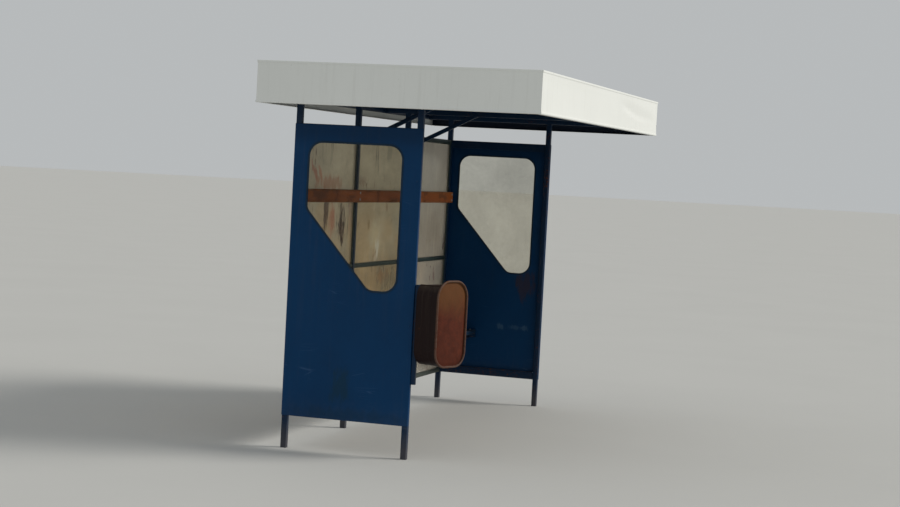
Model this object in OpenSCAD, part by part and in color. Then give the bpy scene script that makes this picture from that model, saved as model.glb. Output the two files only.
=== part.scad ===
// Open-fronted bus shelter: steel tube frame, box-edged flat roof, glazed rear wall,
// two sheet side panels with a shaped window, a slatted bench and a hung litter bin.
// X runs along the shelter, the open front faces -Y, and Z is up from the lowest ground.

/* [Frame] */
// Length between the outer faces of the end posts
frame_len = 3450; // [2400:10:5200]
// Number of bays in the rear wall
bays = 3; // [2:1:4]
// Side of the square post tube
post_w = 40; // [30:5:80]
// Wall of the post tube
post_wall = 3; // [2:0.5:5]
// Radius of the outer corners of every tube
tube_r = 5; // [3:0.5:8]
// Height of the roof edge above the side panels
roof_gap = 120; // [60:2:250]

/* [Side panels] */
// Front to rear width of a side panel
panel_w = 900; // [820:10:1300]
// Height of a side panel
panel_h = 1965; // [1750:5:2250]
// Clear height under the side panels
panel_clear = 220; // [60:10:300]
// Sheet thickness of a side panel
panel_t = 3; // [2:0.5:6]
// Depth of the folded edge of a side panel
panel_fold = 22; // [12:1:36]
// Height of the rails behind a side panel
side_rail_h = 60; // [30:5:90]

/* [Window] */
// Distance of the window from the rear edge of the panel
win_rear = 115; // [85:5:140]
// Width of the window at its top
win_w = 650; // [600:10:690]
// Distance of the window from the top edge of the panel
win_top = 125; // [95:5:200]
// Full height of the window at its front side
win_h = 960; // [800:10:1200]
// Height of the short rear side of the window
win_rear_h = 440; // [300:10:550]
// Width of the short lower side of the window
win_low_w = 190; // [180:5:300]
// Corner radius of the window
win_r = 90; // [60:5:100]
// Thickness of the window pane
win_t = 5; // [4:0.5:6]
// Visible width of the rubber window seal
seal_w = 14; // [12:1:20]
// Thickness of the rubber window seal
seal_t = 10; // [9:0.5:14]

/* [Roof] */
// Reach of the roof beyond each side panel
roof_end = 190; // [80:10:400]
// Reach of the roof behind the rear edge of the panels
roof_rear = 216; // [120:2:400]
// Reach of the roof in front of the panels
roof_front = 839; // [400:1:1100]
// Height of the roof edge
fascia_h = 280; // [200:5:340]
// Sheet thickness of the roof edge
fascia_t = 2; // [1:0.5:4]
// Depth of the folds along the roof edge
fascia_fold = 34; // [20:1:60]
// Depth of the lip turned down from the upper fold
fascia_lip = 16; // [8:1:30]
// Height of the raised rim along the roof edge
rim_h = 14; // [8:1:30]
// Depth by which that rim stands proud
rim_out = 3; // [1.5:0.5:6]
// Height of the rafters above the bottom of the roof edge
rafter_rise = 48; // [10:1:80]
// Height of the rafter tubes
rafter_h = 45; // [35:1:80]
// Thickness of the ceiling sheet
ceiling_t = 1.5; // [1:0.5:4]
// Height of the rear purlin
purlin_rear_h = 70; // [60:5:150]
// Fall of the roof cover from front to rear
roof_fall = 60; // [20:5:80]
// Height of the ribs of the roof cover
rib_h = 22; // [10:1:30]
// Spacing of the ribs of the roof cover
rib_pitch = 210; // [140:10:400]
// Sheet thickness of the roof cover
cover_t = 1.2; // [0.8:0.1:3]
// Wall of the roof purlins
purlin_wall = 2; // [1.5:0.5:4]
// Width of the roof purlins
purlin_w = 40; // [30:5:60]
// Width of the rear gutter
gutter_w = 110; // [80:5:140]

/* [Rear wall] */
// Height of the upper and lower rear wall rails
rail_h = 30; // [24:2:60]
// Height of the middle rear wall rails
mid_rail_h = 18; // [18:2:60]
// Depth of the rear wall rails
rail_d = 30; // [20:2:40]
// Height of the middle rails above the panel bottom
mid_rail_z = 962; // [700:2:1200]
// Thickness of the rear panes
pane_t = 6; // [4:0.5:10]
// Visible width of the strips that hold the panes
bead_w = 8; // [8:1:25]
// Depth of those strips
bead_d = 10; // [5:1:13]
// Height of the shoulder board
board_h = 92; // [60:2:140]
// Thickness of the shoulder board
board_t = 22; // [15:1:40]
// Height of the shoulder board above the panel bottom
board_z = 1436; // [1300:2:1700]

/* [Knee braces] */
// Side of the square brace tube
brace_w = 30; // [20:1:40]
// Forward reach of a knee brace
brace_reach = 545; // [300:5:700]
// Height of a knee brace
brace_rise = 260; // [150:5:300]

/* [Bench] */
// Height of the seat above the lowest ground
seat_z = 600; // [520:10:700]
// Number of seat slats
slats = 3; // [2:1:5]
// Width of a bench slat
slat_w = 84; // [60:2:110]
// Thickness of a bench slat
slat_t = 34; // [25:1:50]
// Radius of the eased edges of slats and boards
slat_ease = 6; // [2:0.5:10]
// Gap between seat slats
slat_gap = 14; // [8:1:25]
// Height of the backrest slat above the seat
back_rise = 190; // [120:5:350]
// Drop of the bench struts below the arm
strut_drop = 200; // [150:5:210]
// Side of the square bench bracket tube
arm_w = 30; // [20:1:40]

/* [Litter bin] */
// Width of the bin
bin_w = 315; // [240:5:360]
// Height of the bin
bin_h = 575; // [450:5:640]
// Depth of the bin
bin_d = 175; // [150:5:240]
// Sheet thickness of the bin
bin_t = 2.5; // [1.5:0.5:4]
// Height of the bin bottom above the lowest ground
bin_z = 630; // [400:10:800]
// Turn of the bin towards the near end
bin_turn = 22; // [0:1:30]
// Sideways place of the bin's middle from the post's middle
bin_side = 65; // [0:5:130]
// Depth of the bar that carries the bin
bar_d = 30; // [20:1:60]
// Width of that bar
bar_w = 30; // [20:1:50]
// Length of that bar
bar_h = 660; // [600:10:900]
// Reach of the bar below the bin
bar_low = 130; // [0:5:200]
// Height of the arms that hold the bin
bin_arm_h = 36; // [20:1:60]
// Radius of the bin's top corners
bin_top_r = 120; // [60:5:140]
// Radius of the bin's bottom corners
bin_low_r = 105; // [60:5:140]
// Radius of the rolled rim of the bin
bead_r = 7; // [4:0.5:10]
// Drop of the bin's open mouth below its top
mouth_drop = 40; // [30:5:120]

/* [Hidden] */
$fn = 48;
fit = 0.3;
nil = 0.01;
arc_steps = 10;
tube_steps = 3;
panel_out = panel_t;
panel_top = panel_clear + panel_h;
post_top = panel_top + roof_gap + rafter_rise;
roof_len = frame_len + 2 * (panel_out + roof_end);
roof_dep = panel_w + roof_rear + roof_front;
roof_y0 = -roof_dep / 2;
roof_y1 = roof_dep / 2;
rear_y = roof_y1 - roof_rear;
front_y = rear_y - panel_w;
back_post_y = rear_y - panel_t - fit - post_w / 2;
front_post_y = front_y + panel_t + fit + post_w / 2;
bay = (frame_len - post_w) / bays;
near_x = -(frame_len - post_w) / 2;
far_x = -near_x;
fascia_z0 = panel_top + roof_gap;
fascia_z1 = fascia_z0 + fascia_h;
skin = rim_out + fascia_t;
edge_y0 = roof_y0 + skin + fit;
edge_y1 = roof_y1 - skin - fit;
edge_len = roof_len - 2 * (skin + fit);
raf_y0 = edge_y0 + post_w;
raf_y1 = edge_y1 - post_w;
ceil_z = post_top + rafter_h;
purlin_z = ceil_z + ceiling_t;
cover_run = roof_dep - 2 * skin - gutter_w - 2;
cover_y0 = roof_y0 + skin + 1;
cover_y1 = cover_y0 + cover_run;
rear_purlin_y = cover_y1 - 80;
front_purlin_y = cover_y0 + 60;
mid_purlin_y = (rear_purlin_y + front_purlin_y) / 2;
slope = roof_fall / (rear_purlin_y - front_purlin_y);
cover_ang = atan(slope);
rear_purlin_top = purlin_z + purlin_rear_h;
back_in_y = back_post_y - post_w / 2;
win_u0 = win_rear;
win_u1 = win_rear + win_w;
win_v1 = panel_h - win_top;
win_v0 = win_v1 - win_h;
win_pts = [
    [win_u0, win_v1],
    [win_u1, win_v1],
    [win_u1, win_v0],
    [win_u1 - win_low_w, win_v0],
    [win_u0, win_v1 - win_rear_h]
];
win_radii = [win_r, win_r, win_r, win_r * 0.9, win_r * 0.75];
bin_pts = [
    [-bin_w / 2, bin_h],
    [bin_w / 2, bin_h],
    [bin_w / 2, 0],
    [-bin_w / 2, 0]
];
bin_radii = [bin_top_r, bin_top_r, bin_low_r, bin_low_r];
slat_pitch = slat_w + slat_gap;
seat_front_y = back_in_y - fit - 8;
seat_len = frame_len - 2 * 4;
arm_len = 8 + slats * slat_pitch - slat_gap;
arm_z = seat_z - slat_t - fit - arm_w;
bar_wall = 3;
rim_sides = 64;
bead_sides = 24;
arm_low_z = bin_low_r;
arm_high_z = bin_h - bin_top_r - bin_arm_h;
bar_front_y = front_y - fit - bar_d;
bin_back_y = bar_front_y - fit - (bin_w / 2 - bin_side) * sin(bin_turn);

// Left-hand normal of the direction from a to b, for a clockwise outline
function out_normal(a, b) = [-(b[1] - a[1]), b[0] - a[0]] / norm(b - a);
// Sum of the two edge normals at corner b, scaled so that its length reaches a width of one
function corner_reach(a, b, c) =
    let (
        n0 = out_normal(a, b),
        n1 = out_normal(b, c)
    )
    (n0 + n1) / (1 + n0 * n1);

// Points of the arc of radius r about a centre, from the direction n0 clockwise to n1
function corner_arc(centre, n0, n1, r, steps) =
    let (
        start = atan2(n0[1], n0[0]),
        turn = acos(n0 * n1)
    )
    [
        for (k = [0:steps])
            let (angle = start - turn * k / steps)
            centre + r * [cos(angle), sin(angle)]
    ];

// Convex clockwise outline with round corners, grown outwards by a width
module rounded(pts, radii, grow = 0, steps = arc_steps) {
    count = len(pts);
    polygon([
        for (i = [0:count - 1])
            let (
                before = pts[(i + count - 1) % count],
                after = pts[(i + 1) % count],
                centre = pts[i] - corner_reach(before, pts[i], after) * radii[i]
            )
            each corner_arc(
                centre,
                out_normal(before, pts[i]),
                out_normal(pts[i], after),
                radii[i] + grow,
                steps
            )
    ]);
}

// Rectangle about the origin with round corners
module round_rect(w, d, r) {
    rounded([[-w / 2, d / 2], [w / 2, d / 2], [w / 2, -d / 2], [-w / 2, -d / 2]], [r, r, r, r], 0, tube_steps);
}

// Section of a rectangular tube, centred on the origin
module tube_section(w, d, wall) {
    difference() {
        round_rect(w, d, tube_r);
        round_rect(w - 2 * wall, d - 2 * wall, max(tube_r - wall, 0.5));
    }
}

// Rectangular tube standing on its end, centred on the origin
module tube_z(w, d, h, wall) {
    linear_extrude(h)
        tube_section(w, d, wall);
}

// Rectangular tube along X, from its lower near corner
module tube_x(len, d, h, wall) {
    translate([0, d / 2, h / 2])
        rotate([90, 0, 90])
            linear_extrude(len)
                tube_section(d, h, wall);
}

// Rectangular tube along Y, from its lower near corner
module tube_y(len, w, h, wall) {
    translate([w / 2, len, h / 2])
        rotate([90, 0, 0])
            linear_extrude(len)
                tube_section(w, h, wall);
}

// Board along X with eased edges, from its lower near corner
module board(len, d, h, ease) {
    translate([0, d / 2, h / 2])
        rotate([90, 0, 90])
            linear_extrude(len)
                round_rect(d, h, ease);
}

module post(x, y) {
    color([0.09, 0.2, 0.32])
        translate([x, y, 0])
            tube_z(post_w, post_w, post_top, post_wall);
}

module near_front_post() {
    post(near_x, front_post_y);
}

module near_back_post() {
    post(near_x, back_post_y);
}

module near_middle_post() {
    post(near_x + bay, back_post_y);
}

module far_middle_post() {
    post(far_x - bay, back_post_y);
}

module far_back_post() {
    post(far_x, back_post_y);
}

module far_front_post() {
    post(far_x, front_post_y);
}

// Rafter from the rear edge beam to the front edge beam, on a post top
module rafter(x) {
    color([0.08, 0.15, 0.24])
        translate([x - post_w / 2, raf_y0, post_top])
            tube_y(raf_y1 - raf_y0, post_w, rafter_h, post_wall);
}

module near_rafter() {
    rafter(near_x);
}

module near_middle_rafter() {
    rafter(near_x + bay);
}

module far_middle_rafter() {
    rafter(far_x - bay);
}

module far_rafter() {
    rafter(far_x);
}

// Edge beam that closes the rafter ends and carries the roof edge
module edge_beam(y) {
    color([0.08, 0.15, 0.24])
        translate([-edge_len / 2, y, post_top])
            tube_x(edge_len, post_w, rafter_h, post_wall);
}

module front_edge_beam() {
    edge_beam(edge_y0);
}

module rear_edge_beam() {
    edge_beam(edge_y1 - post_w);
}

// Brace from the front face of a rear post up to the underside of its rafter
module knee_brace(x) {
    ang = atan(brace_rise / brace_reach);
    long = 2 * norm([brace_reach, brace_rise]);
    color([0.09, 0.2, 0.32])
        translate([x, back_in_y, post_top - brace_rise])
            intersection() {
                translate([-brace_w / 2, -2 * brace_reach, -brace_rise])
                    cube([brace_w, 2 * brace_reach, 2 * brace_rise]);
                rotate([-ang, 0, 0])
                    translate([-brace_w / 2, -long / 2, -brace_w / 2])
                        tube_y(long, brace_w, brace_w, 2.5);
            }
}

module near_knee_brace() {
    knee_brace(near_x + bay);
}

module far_knee_brace() {
    knee_brace(far_x - bay);
}

module ceiling() {
    color([0.05, 0.09, 0.15])
        translate([-edge_len / 2, edge_y0, ceil_z])
            cube([edge_len, edge_y1 - edge_y0, ceiling_t]);
}

// Purlin with its top on the slope of the roof cover
module purlin(y) {
    top0 = rear_purlin_top + slope * (rear_purlin_y - y + purlin_w / 2) - purlin_z;
    top1 = rear_purlin_top + slope * (rear_purlin_y - y - purlin_w / 2) - purlin_z;
    translate([-edge_len / 2, y, purlin_z])
        rotate([90, 0, 90])
            linear_extrude(edge_len)
                difference() {
                    polygon([
                        [-purlin_w / 2, 0],
                        [purlin_w / 2, 0],
                        [purlin_w / 2, top1],
                        [-purlin_w / 2, top0]
                    ]);
                    polygon([
                        [-purlin_w / 2 + purlin_wall, purlin_wall],
                        [purlin_w / 2 - purlin_wall, purlin_wall],
                        [purlin_w / 2 - purlin_wall, top1 - purlin_wall],
                        [-purlin_w / 2 + purlin_wall, top0 - purlin_wall]
                    ]);
                }
}

module roof_purlins() {
    color([0.35, 0.37, 0.38]) {
        purlin(front_purlin_y);
        purlin(mid_purlin_y);
        purlin(rear_purlin_y);
    }
}

// Ribbed sheet that falls towards the rear gutter
module roof_cover() {
    flat_len = edge_len;
    ribs = floor(flat_len / rib_pitch);
    first = (flat_len - (ribs - 1) * rib_pitch) / 2;
    foot = rib_h * 1.6;
    head = rib_h * 0.7;
    line = [
        [0, 0],
        for (i = [0:ribs - 1])
            each [
                [first + i * rib_pitch - foot, 0],
                [first + i * rib_pitch - head, rib_h],
                [first + i * rib_pitch + head, rib_h],
                [first + i * rib_pitch + foot, 0]
            ],
        [flat_len, 0]
    ];
    under = [for (i = [len(line) - 1:-1:0]) line[i] + [0, -cover_t]];
    color([0.62, 0.63, 0.62])
        translate([
            -edge_len / 2,
            cover_y1,
            rear_purlin_top + fit + cover_t + slope * (rear_purlin_y - cover_y1)
        ])
            rotate([-cover_ang, 0, 0])
                rotate([90, 0, 0])
                    linear_extrude((cover_y1 - cover_y0) * 0.999)
                        polygon(concat(line, under));
}

// Folded channel along the rear edge, on the ceiling
module rear_gutter() {
    deep = purlin_rear_h * 0.62;
    color([0.5, 0.52, 0.52])
        translate([-edge_len / 2, edge_y1 - gutter_w, purlin_z])
            difference() {
                cube([edge_len, gutter_w, deep]);
                translate([cover_t, cover_t, cover_t])
                    cube([edge_len - 2 * cover_t, gutter_w - 2 * cover_t, deep]);
            }
}

// Section of the folded roof edge: outer face at 0, inwards is positive
module fascia_section() {
    t = fascia_t;
    f = fascia_fold;
    polygon([
        [0, 0],
        [f, 0],
        [f, t],
        [rim_out + t, t],
        [rim_out + t, fascia_h - t],
        [f - t, fascia_h - t],
        [f - t, fascia_h - fascia_lip],
        [f, fascia_h - fascia_lip],
        [f, fascia_h],
        [0, fascia_h],
        [0, fascia_h - rim_h],
        [rim_out, fascia_h - rim_h],
        [rim_out, rim_h],
        [0, rim_h]
    ]);
}

// One length of roof edge along X with mitred ends, outer face towards -Y
module fascia(len) {
    difference() {
        translate([-len / 2, 0, 0])
            rotate([90, 0, 90])
                linear_extrude(len)
                    fascia_section();
        for (side = [-1, 1])
            translate([side * (len / 2 - fit), 0, -1])
                linear_extrude(fascia_h + 2)
                    polygon([
                        [0, 0],
                        [-side * 2 * fascia_fold, 2 * fascia_fold],
                        [side * 9, 2 * fascia_fold],
                        [side * 9, -1],
                        [side * 0, -1]
                    ]);
    }
}

module front_fascia() {
    color([0.9, 0.9, 0.86])
        translate([0, roof_y0, fascia_z0])
            fascia(roof_len);
}

module rear_fascia() {
    color([0.9, 0.9, 0.86])
        translate([0, roof_y1, fascia_z0])
            rotate([0, 0, 180])
                fascia(roof_len);
}

module near_fascia() {
    color([0.9, 0.9, 0.86])
        translate([-roof_len / 2, 0, fascia_z0])
            rotate([0, 0, -90])
                fascia(roof_dep);
}

module far_fascia() {
    color([0.9, 0.9, 0.86])
        translate([roof_len / 2, 0, fascia_z0])
            rotate([0, 0, 90])
                fascia(roof_dep);
}

// Window outline in the plane of a side panel, grown by a width
module window_outline(grow = 0) {
    rounded(win_pts, win_radii, grow);
}

// Places a flat shape of rear-to-front and upward directions on a side panel
module on_panel(x, t) {
    translate([x - t / 2, rear_y, panel_clear])
        rotate([90, 0, 90])
            mirror([1, 0, 0])
                linear_extrude(t)
                    children();
}

// Folded side panel, its sheet outside the posts
module side_panel(end) {
    sheet_x = end * (frame_len / 2 + fit + panel_t / 2);
    fold_x = end * (frame_len / 2 + fit - (panel_fold - panel_t) / 2 + nil);
    color([0.1, 0.25, 0.4]) {
        on_panel(sheet_x, panel_t)
            difference() {
                square([panel_w, panel_h]);
                window_outline(seal_w / 2 + 1);
            }
        on_panel(fold_x, panel_fold - panel_t)
            difference() {
                square([panel_w, panel_h]);
                translate([panel_t, panel_t])
                    square([panel_w - 2 * panel_t, panel_h - 2 * panel_t]);
            }
    }
}

module near_side_panel() {
    side_panel(-1);
}

module far_side_panel() {
    side_panel(1);
}

// Pane held in the groove of the seal
module side_window(end) {
    color([0.75, 0.8, 0.8, 0.4])
        on_panel(end * (frame_len / 2 + fit + panel_t / 2), win_t)
            window_outline(seal_w / 2 - 2);
}

module near_side_window() {
    side_window(-1);
}

module far_side_window() {
    side_window(1);
}

// Rubber seal with an inner groove for the pane and an outer one for the sheet
module window_seal(end) {
    x = end * (frame_len / 2 + fit + panel_t / 2);
    color([0.05, 0.05, 0.06])
        difference() {
            on_panel(x, seal_t)
                difference() {
                    window_outline(seal_w);
                    window_outline(0);
                }
            on_panel(x, win_t + 2 * fit)
                window_outline(seal_w / 2 - 2 + fit);
            on_panel(x, panel_t + 2 * fit)
                difference() {
                    window_outline(seal_w + 5);
                    window_outline(seal_w / 2 + 1 - fit);
                }
        }
}

module near_window_seal() {
    window_seal(-1);
}

module far_window_seal() {
    window_seal(1);
}

// Rail between a front and a rear post
module side_rail(x, z) {
    y0 = front_post_y + post_w / 2;
    y1 = back_post_y - post_w / 2;
    color([0.07, 0.15, 0.25])
        translate([x - rail_d / 2, y0, z])
            tube_y(y1 - y0, rail_d, side_rail_h, 2.5);
}

module near_top_rail() {
    side_rail(near_x, panel_top - panel_t - fit - side_rail_h);
}

module near_bottom_rail() {
    side_rail(near_x, panel_clear + panel_t + fit);
}

module far_top_rail() {
    side_rail(far_x, panel_top - panel_t - fit - side_rail_h);
}

module far_bottom_rail() {
    side_rail(far_x, panel_clear + panel_t + fit);
}

// One rail of height h in each bay of the rear wall
module rear_rails(z, h) {
    color([0.12, 0.16, 0.17])
        for (i = [0:bays - 1])
            translate([near_x + i * bay + post_w / 2, back_post_y - rail_d / 2, z])
                tube_x(bay - post_w, rail_d, h, 2.5);
}

module rear_top_rails() {
    rear_rails(panel_top - rail_h, rail_h);
}

module rear_middle_rails() {
    rear_rails(panel_clear + mid_rail_z, mid_rail_h);
}

module rear_bottom_rails() {
    rear_rails(panel_clear, rail_h);
}

// One pane in each bay, between two rails
module rear_panes(z0, z1) {
    edge = 3;
    color([0.6, 0.58, 0.5, 0.5])
        for (i = [0:bays - 1])
            translate([near_x + i * bay + post_w / 2 + edge, back_post_y - pane_t / 2, z0 + fit])
                cube([bay - post_w - 2 * edge, pane_t, z1 - z0 - 2 * fit]);
}

module rear_lower_panes() {
    rear_panes(panel_clear + rail_h, panel_clear + mid_rail_z);
}

module rear_upper_panes() {
    rear_panes(panel_clear + mid_rail_z + mid_rail_h, panel_top - rail_h);
}

// Strips that hold a pane from inside, along its four edges
module rear_glazing_beads() {
    inner_y = back_post_y - pane_t / 2 - fit;
    spans = [
        [panel_clear + rail_h, panel_clear + mid_rail_z],
        [panel_clear + mid_rail_z + mid_rail_h, panel_top - rail_h]
    ];
    color([0.12, 0.16, 0.17])
        for (i = [0:bays - 1], z = spans)
            translate([near_x + i * bay + post_w / 2 + fit, inner_y, z[0] + fit])
                rotate([90, 0, 0])
                    linear_extrude(bead_d)
                        difference() {
                            square([bay - post_w - 2 * fit, z[1] - z[0] - 2 * fit]);
                            translate([bead_w, bead_w])
                                square([bay - post_w - 2 * (fit + bead_w), z[1] - z[0] - 2 * (fit + bead_w)]);
                        }
}

// Weathered board across the front of the rear posts
module shoulder_board() {
    color([0.45, 0.29, 0.17])
        translate([-frame_len / 2 + 1, back_in_y - fit - board_t, panel_clear + board_z])
            board(frame_len - 2, board_t, board_h, slat_ease);
}

module bench_seat() {
    color([0.07, 0.12, 0.19])
        for (i = [0:slats - 1])
            translate([-seat_len / 2, seat_front_y - i * slat_pitch - slat_w, seat_z - slat_t])
                board(seat_len, slat_w, slat_t, slat_ease);
}

module bench_backrest() {
    color([0.07, 0.12, 0.19])
        translate([-seat_len / 2, back_in_y - fit - slat_t, seat_z + back_rise])
            board(seat_len, slat_t, slat_w, slat_ease);
}

// Arm and strut that carry the seat on a rear post
module bench_bracket(x) {
    reach = arm_len - 40;
    ang = atan(strut_drop / reach);
    long = 2 * norm([reach, strut_drop]);
    translate([x - arm_w / 2, back_in_y - arm_len, arm_z])
        tube_y(arm_len, arm_w, arm_w, 2.5);
    translate([x, back_in_y, arm_z - strut_drop])
        intersection() {
            translate([-arm_w / 2, -2 * reach, -strut_drop])
                cube([arm_w, 2 * reach, 2 * strut_drop]);
            rotate([-ang, 0, 0])
                translate([-arm_w / 2, -long / 2, -arm_w / 2])
                    tube_y(long, arm_w, arm_w, 2.5);
        }
}

module bench_brackets() {
    color([0.09, 0.2, 0.32])
        for (i = [0:bays])
            bench_bracket(near_x + i * bay);
}

// Places the bin in front of the near front post, turned about the post
module at_bin() {
    translate([near_x, bin_back_y, bin_z])
        rotate([0, 0, -bin_turn])
            translate([bin_side, 0, 0])
                children();
}

// Trough of the bin with its rear wall, cut level at the open mouth
module bin_body() {
    color([0.12, 0.1, 0.1])
        at_bin()
            rotate([90, 0, 0])
                difference() {
                    union() {
                        linear_extrude(bin_d)
                            difference() {
                                rounded(bin_pts, bin_radii, -bead_r);
                                rounded(bin_pts, bin_radii, -bead_r - bin_t);
                            }
                        linear_extrude(bin_t)
                            rounded(bin_pts, bin_radii, -bead_r - bin_t / 2);
                    }
                    translate([-bin_w, bin_h - mouth_drop, -1])
                        cube([2 * bin_w, bin_h, bin_d + 2]);
                }
}

// Half-round bead that follows the outline of the bin, on the plane it is drawn on
module rolled_rim() {
    for (i = [0:3]) {
        before = bin_pts[(i + 3) % 4];
        after = bin_pts[(i + 1) % 4];
        r = bin_radii[i];
        n0 = out_normal(before, bin_pts[i]);
        n1 = out_normal(bin_pts[i], after);
        centre = bin_pts[i] - (n0 + n1) * r;
        from = centre + n1 * (r - bead_r);
        next_r = bin_radii[(i + 1) % 4];
        side = norm(after - bin_pts[i]) - r - next_r;
        translate(centre)
            rotate([0, 0, atan2(n1[1], n1[0])])
                rotate_extrude(angle = 90, $fn = rim_sides)
                    translate([r - bead_r, 0])
                        circle(r = bead_r, $fn = bead_sides);
        translate(from)
            rotate([0, 0, atan2(n1[1], n1[0]) - 90])
                rotate([0, 90, 0])
                    cylinder(r = bead_r, h = side, $fn = bead_sides);
    }
}

// Front plate of the bin with its rolled rim
module bin_front() {
    color([0.36, 0.17, 0.11])
        at_bin()
            translate([0, -bin_d - fit - bead_r, 0])
                rotate([90, 0, 0]) {
                    translate([0, 0, -bead_r])
                        linear_extrude(bin_t)
                            rounded(bin_pts, bin_radii, -bead_r);
                    rolled_rim();
                }
}

// Upright bar on the panel's front edge, with two wedge arms against the back of the bin
module bin_bracket() {
    along = [cos(bin_turn), -sin(bin_turn)];
    behind = [sin(bin_turn), cos(bin_turn)];
    seat = [0, bin_back_y] + behind * fit;
    color([0.09, 0.2, 0.32])
        translate([near_x, 0, 0]) {
            translate([0, bar_front_y + bar_d / 2, bin_z - bar_low])
                tube_z(bar_w, bar_d, bar_h, bar_wall);
            for (z = [arm_low_z, arm_high_z])
                translate([0, 0, bin_z + z])
                    linear_extrude(bin_arm_h)
                        polygon([
                            [-bar_w / 2, bar_front_y + bar_wall / 2],
                            [bar_w / 2, bar_front_y + bar_wall / 2],
                            [bar_w / 2, bar_front_y],
                            seat + along * (bin_side + bar_w),
                            seat - along * bar_w / 2,
                            [-bar_w / 2, bar_front_y]
                        ]);
        }
}

near_front_post();
near_back_post();
near_middle_post();
far_middle_post();
far_back_post();
far_front_post();
near_rafter();
near_middle_rafter();
far_middle_rafter();
far_rafter();
front_edge_beam();
rear_edge_beam();
near_knee_brace();
far_knee_brace();
ceiling();
roof_purlins();
roof_cover();
rear_gutter();
front_fascia();
rear_fascia();
near_fascia();
far_fascia();
near_side_panel();
far_side_panel();
near_side_window();
far_side_window();
near_window_seal();
far_window_seal();
near_top_rail();
near_bottom_rail();
far_top_rail();
far_bottom_rail();
rear_top_rails();
rear_middle_rails();
rear_bottom_rails();
rear_lower_panes();
rear_upper_panes();
rear_glazing_beads();
shoulder_board();
bench_seat();
bench_backrest();
bench_brackets();
bin_body();
bin_front();
bin_bracket();
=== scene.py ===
from collections import namedtuple
import math

import bpy
from mathutils import Matrix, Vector
import numpy as np


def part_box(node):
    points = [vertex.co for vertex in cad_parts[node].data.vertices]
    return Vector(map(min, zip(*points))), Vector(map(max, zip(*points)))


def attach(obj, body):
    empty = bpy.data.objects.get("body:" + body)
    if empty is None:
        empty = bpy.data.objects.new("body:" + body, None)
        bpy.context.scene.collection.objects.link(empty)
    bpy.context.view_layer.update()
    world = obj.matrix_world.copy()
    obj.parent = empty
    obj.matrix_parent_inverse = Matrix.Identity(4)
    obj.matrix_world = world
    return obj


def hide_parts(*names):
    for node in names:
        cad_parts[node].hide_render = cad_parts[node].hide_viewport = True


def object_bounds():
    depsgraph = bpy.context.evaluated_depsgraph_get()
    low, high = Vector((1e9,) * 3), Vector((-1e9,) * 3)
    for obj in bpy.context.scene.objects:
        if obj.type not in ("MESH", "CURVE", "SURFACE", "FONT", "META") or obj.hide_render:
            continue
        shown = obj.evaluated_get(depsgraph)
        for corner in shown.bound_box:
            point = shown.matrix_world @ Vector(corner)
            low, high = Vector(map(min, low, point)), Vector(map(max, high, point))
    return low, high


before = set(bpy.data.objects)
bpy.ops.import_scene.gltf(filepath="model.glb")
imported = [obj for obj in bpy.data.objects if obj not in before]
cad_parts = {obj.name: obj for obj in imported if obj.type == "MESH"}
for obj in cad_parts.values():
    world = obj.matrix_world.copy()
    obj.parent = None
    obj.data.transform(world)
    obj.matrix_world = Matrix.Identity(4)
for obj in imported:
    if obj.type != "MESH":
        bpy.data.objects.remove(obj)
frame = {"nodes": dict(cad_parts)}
CAD_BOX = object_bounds()

bl_info = {
    "name": "Bus shelter dressing",
    "version": (1, 0, 0),
    "blender": (4, 5, 0),
    "location": "3D View > Sidebar > Shelter",
    "description": "Builds the visible pieces and finishes of a bus shelter around its packed frame",
    "category": "Mesh",
}

ENDS = ("near", "far")
REAR_LEVELS = ("top", "middle", "bottom")
REAR_PANES = ("rear_lower_panes", "rear_upper_panes")
X, Y, Z = np.eye(3)
TURN = 2 * math.pi
SMOOTH_ANGLE = math.radians(32)
WORN = "worn"
FINISH_PREFIX = "weathered_"

GAP = 0.0003  # clearance between neighbours
ROOF_UNDERSIDE = 2.4
SEAL_WIDTH = 0.014
SHEET_IN_SEAL = 8 / 14 * SEAL_WIDTH
WINDOW_FOOT, WINDOW_REAR = 0.19, 0.44  # short straight sides beside the slope
WINDOW_RADII = (0.09, 0.0675, 0.081, 0.09, 0.09)
BRACKET_TUBE = 0.03
COVER_SHEET, COVER_RIB, COVER_PITCH = 0.0012, 0.022, 0.21
BEAD_WIDTH = 0.008
SLATS, SLAT_GAP = 3, 0.014
BIN_TURN, BIN_WIDTH, BIN_DEPTH, BIN_MOUTH = 22.0, 0.315, 0.175, 0.04
BIN_RADII = (0.12, 0.12, 0.105, 0.105)
SWAGE_DEPTH, SWAGE_HALF, MOUTH_ROLL = 0.0022, 0.03, 0.0035
BAR = 0.03
ARM_HEIGHT, ARM_LEVELS = 0.036, (0.105, 0.419)
RIVET_GAP, ROW_END = 0.32, 0.09  # spacing of the rivets, and how far rows stop short
WELD_STEP, WELD_RIPPLE = 0.0016, 0.0052
FLOOR_RINGS, FLOOR_SIDES = (4.0, 12.0, 40.0, 220.0), 96
SUN_COLOUR, SUN_SPREAD, SUN_FROM = (1.0, 0.96, 0.89), math.radians(24), (0.30, -0.80, 0.58)
SKY_COLOUR = (0.95, 0.985, 1.0, 1)
CAMERA_PLACE, CAMERA_TARGET, CAMERA_ROLL = (-13.2587, -3.914, 1.8951), (-0.6, -0.02, 1.33), 0.0537


# Lines and outlines in a plane


def unit(v):
    """Vectors divided by their own lengths."""
    return v / np.maximum(np.linalg.norm(v, axis=-1, keepdims=True), 1e-12)


def within(x, start, end, over):
    """One well inside a span, falling to nought at both of its ends over a given length."""
    return np.clip((x - start) / over, 0, 1) * np.clip((end - x) / over, 0, 1)


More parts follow.
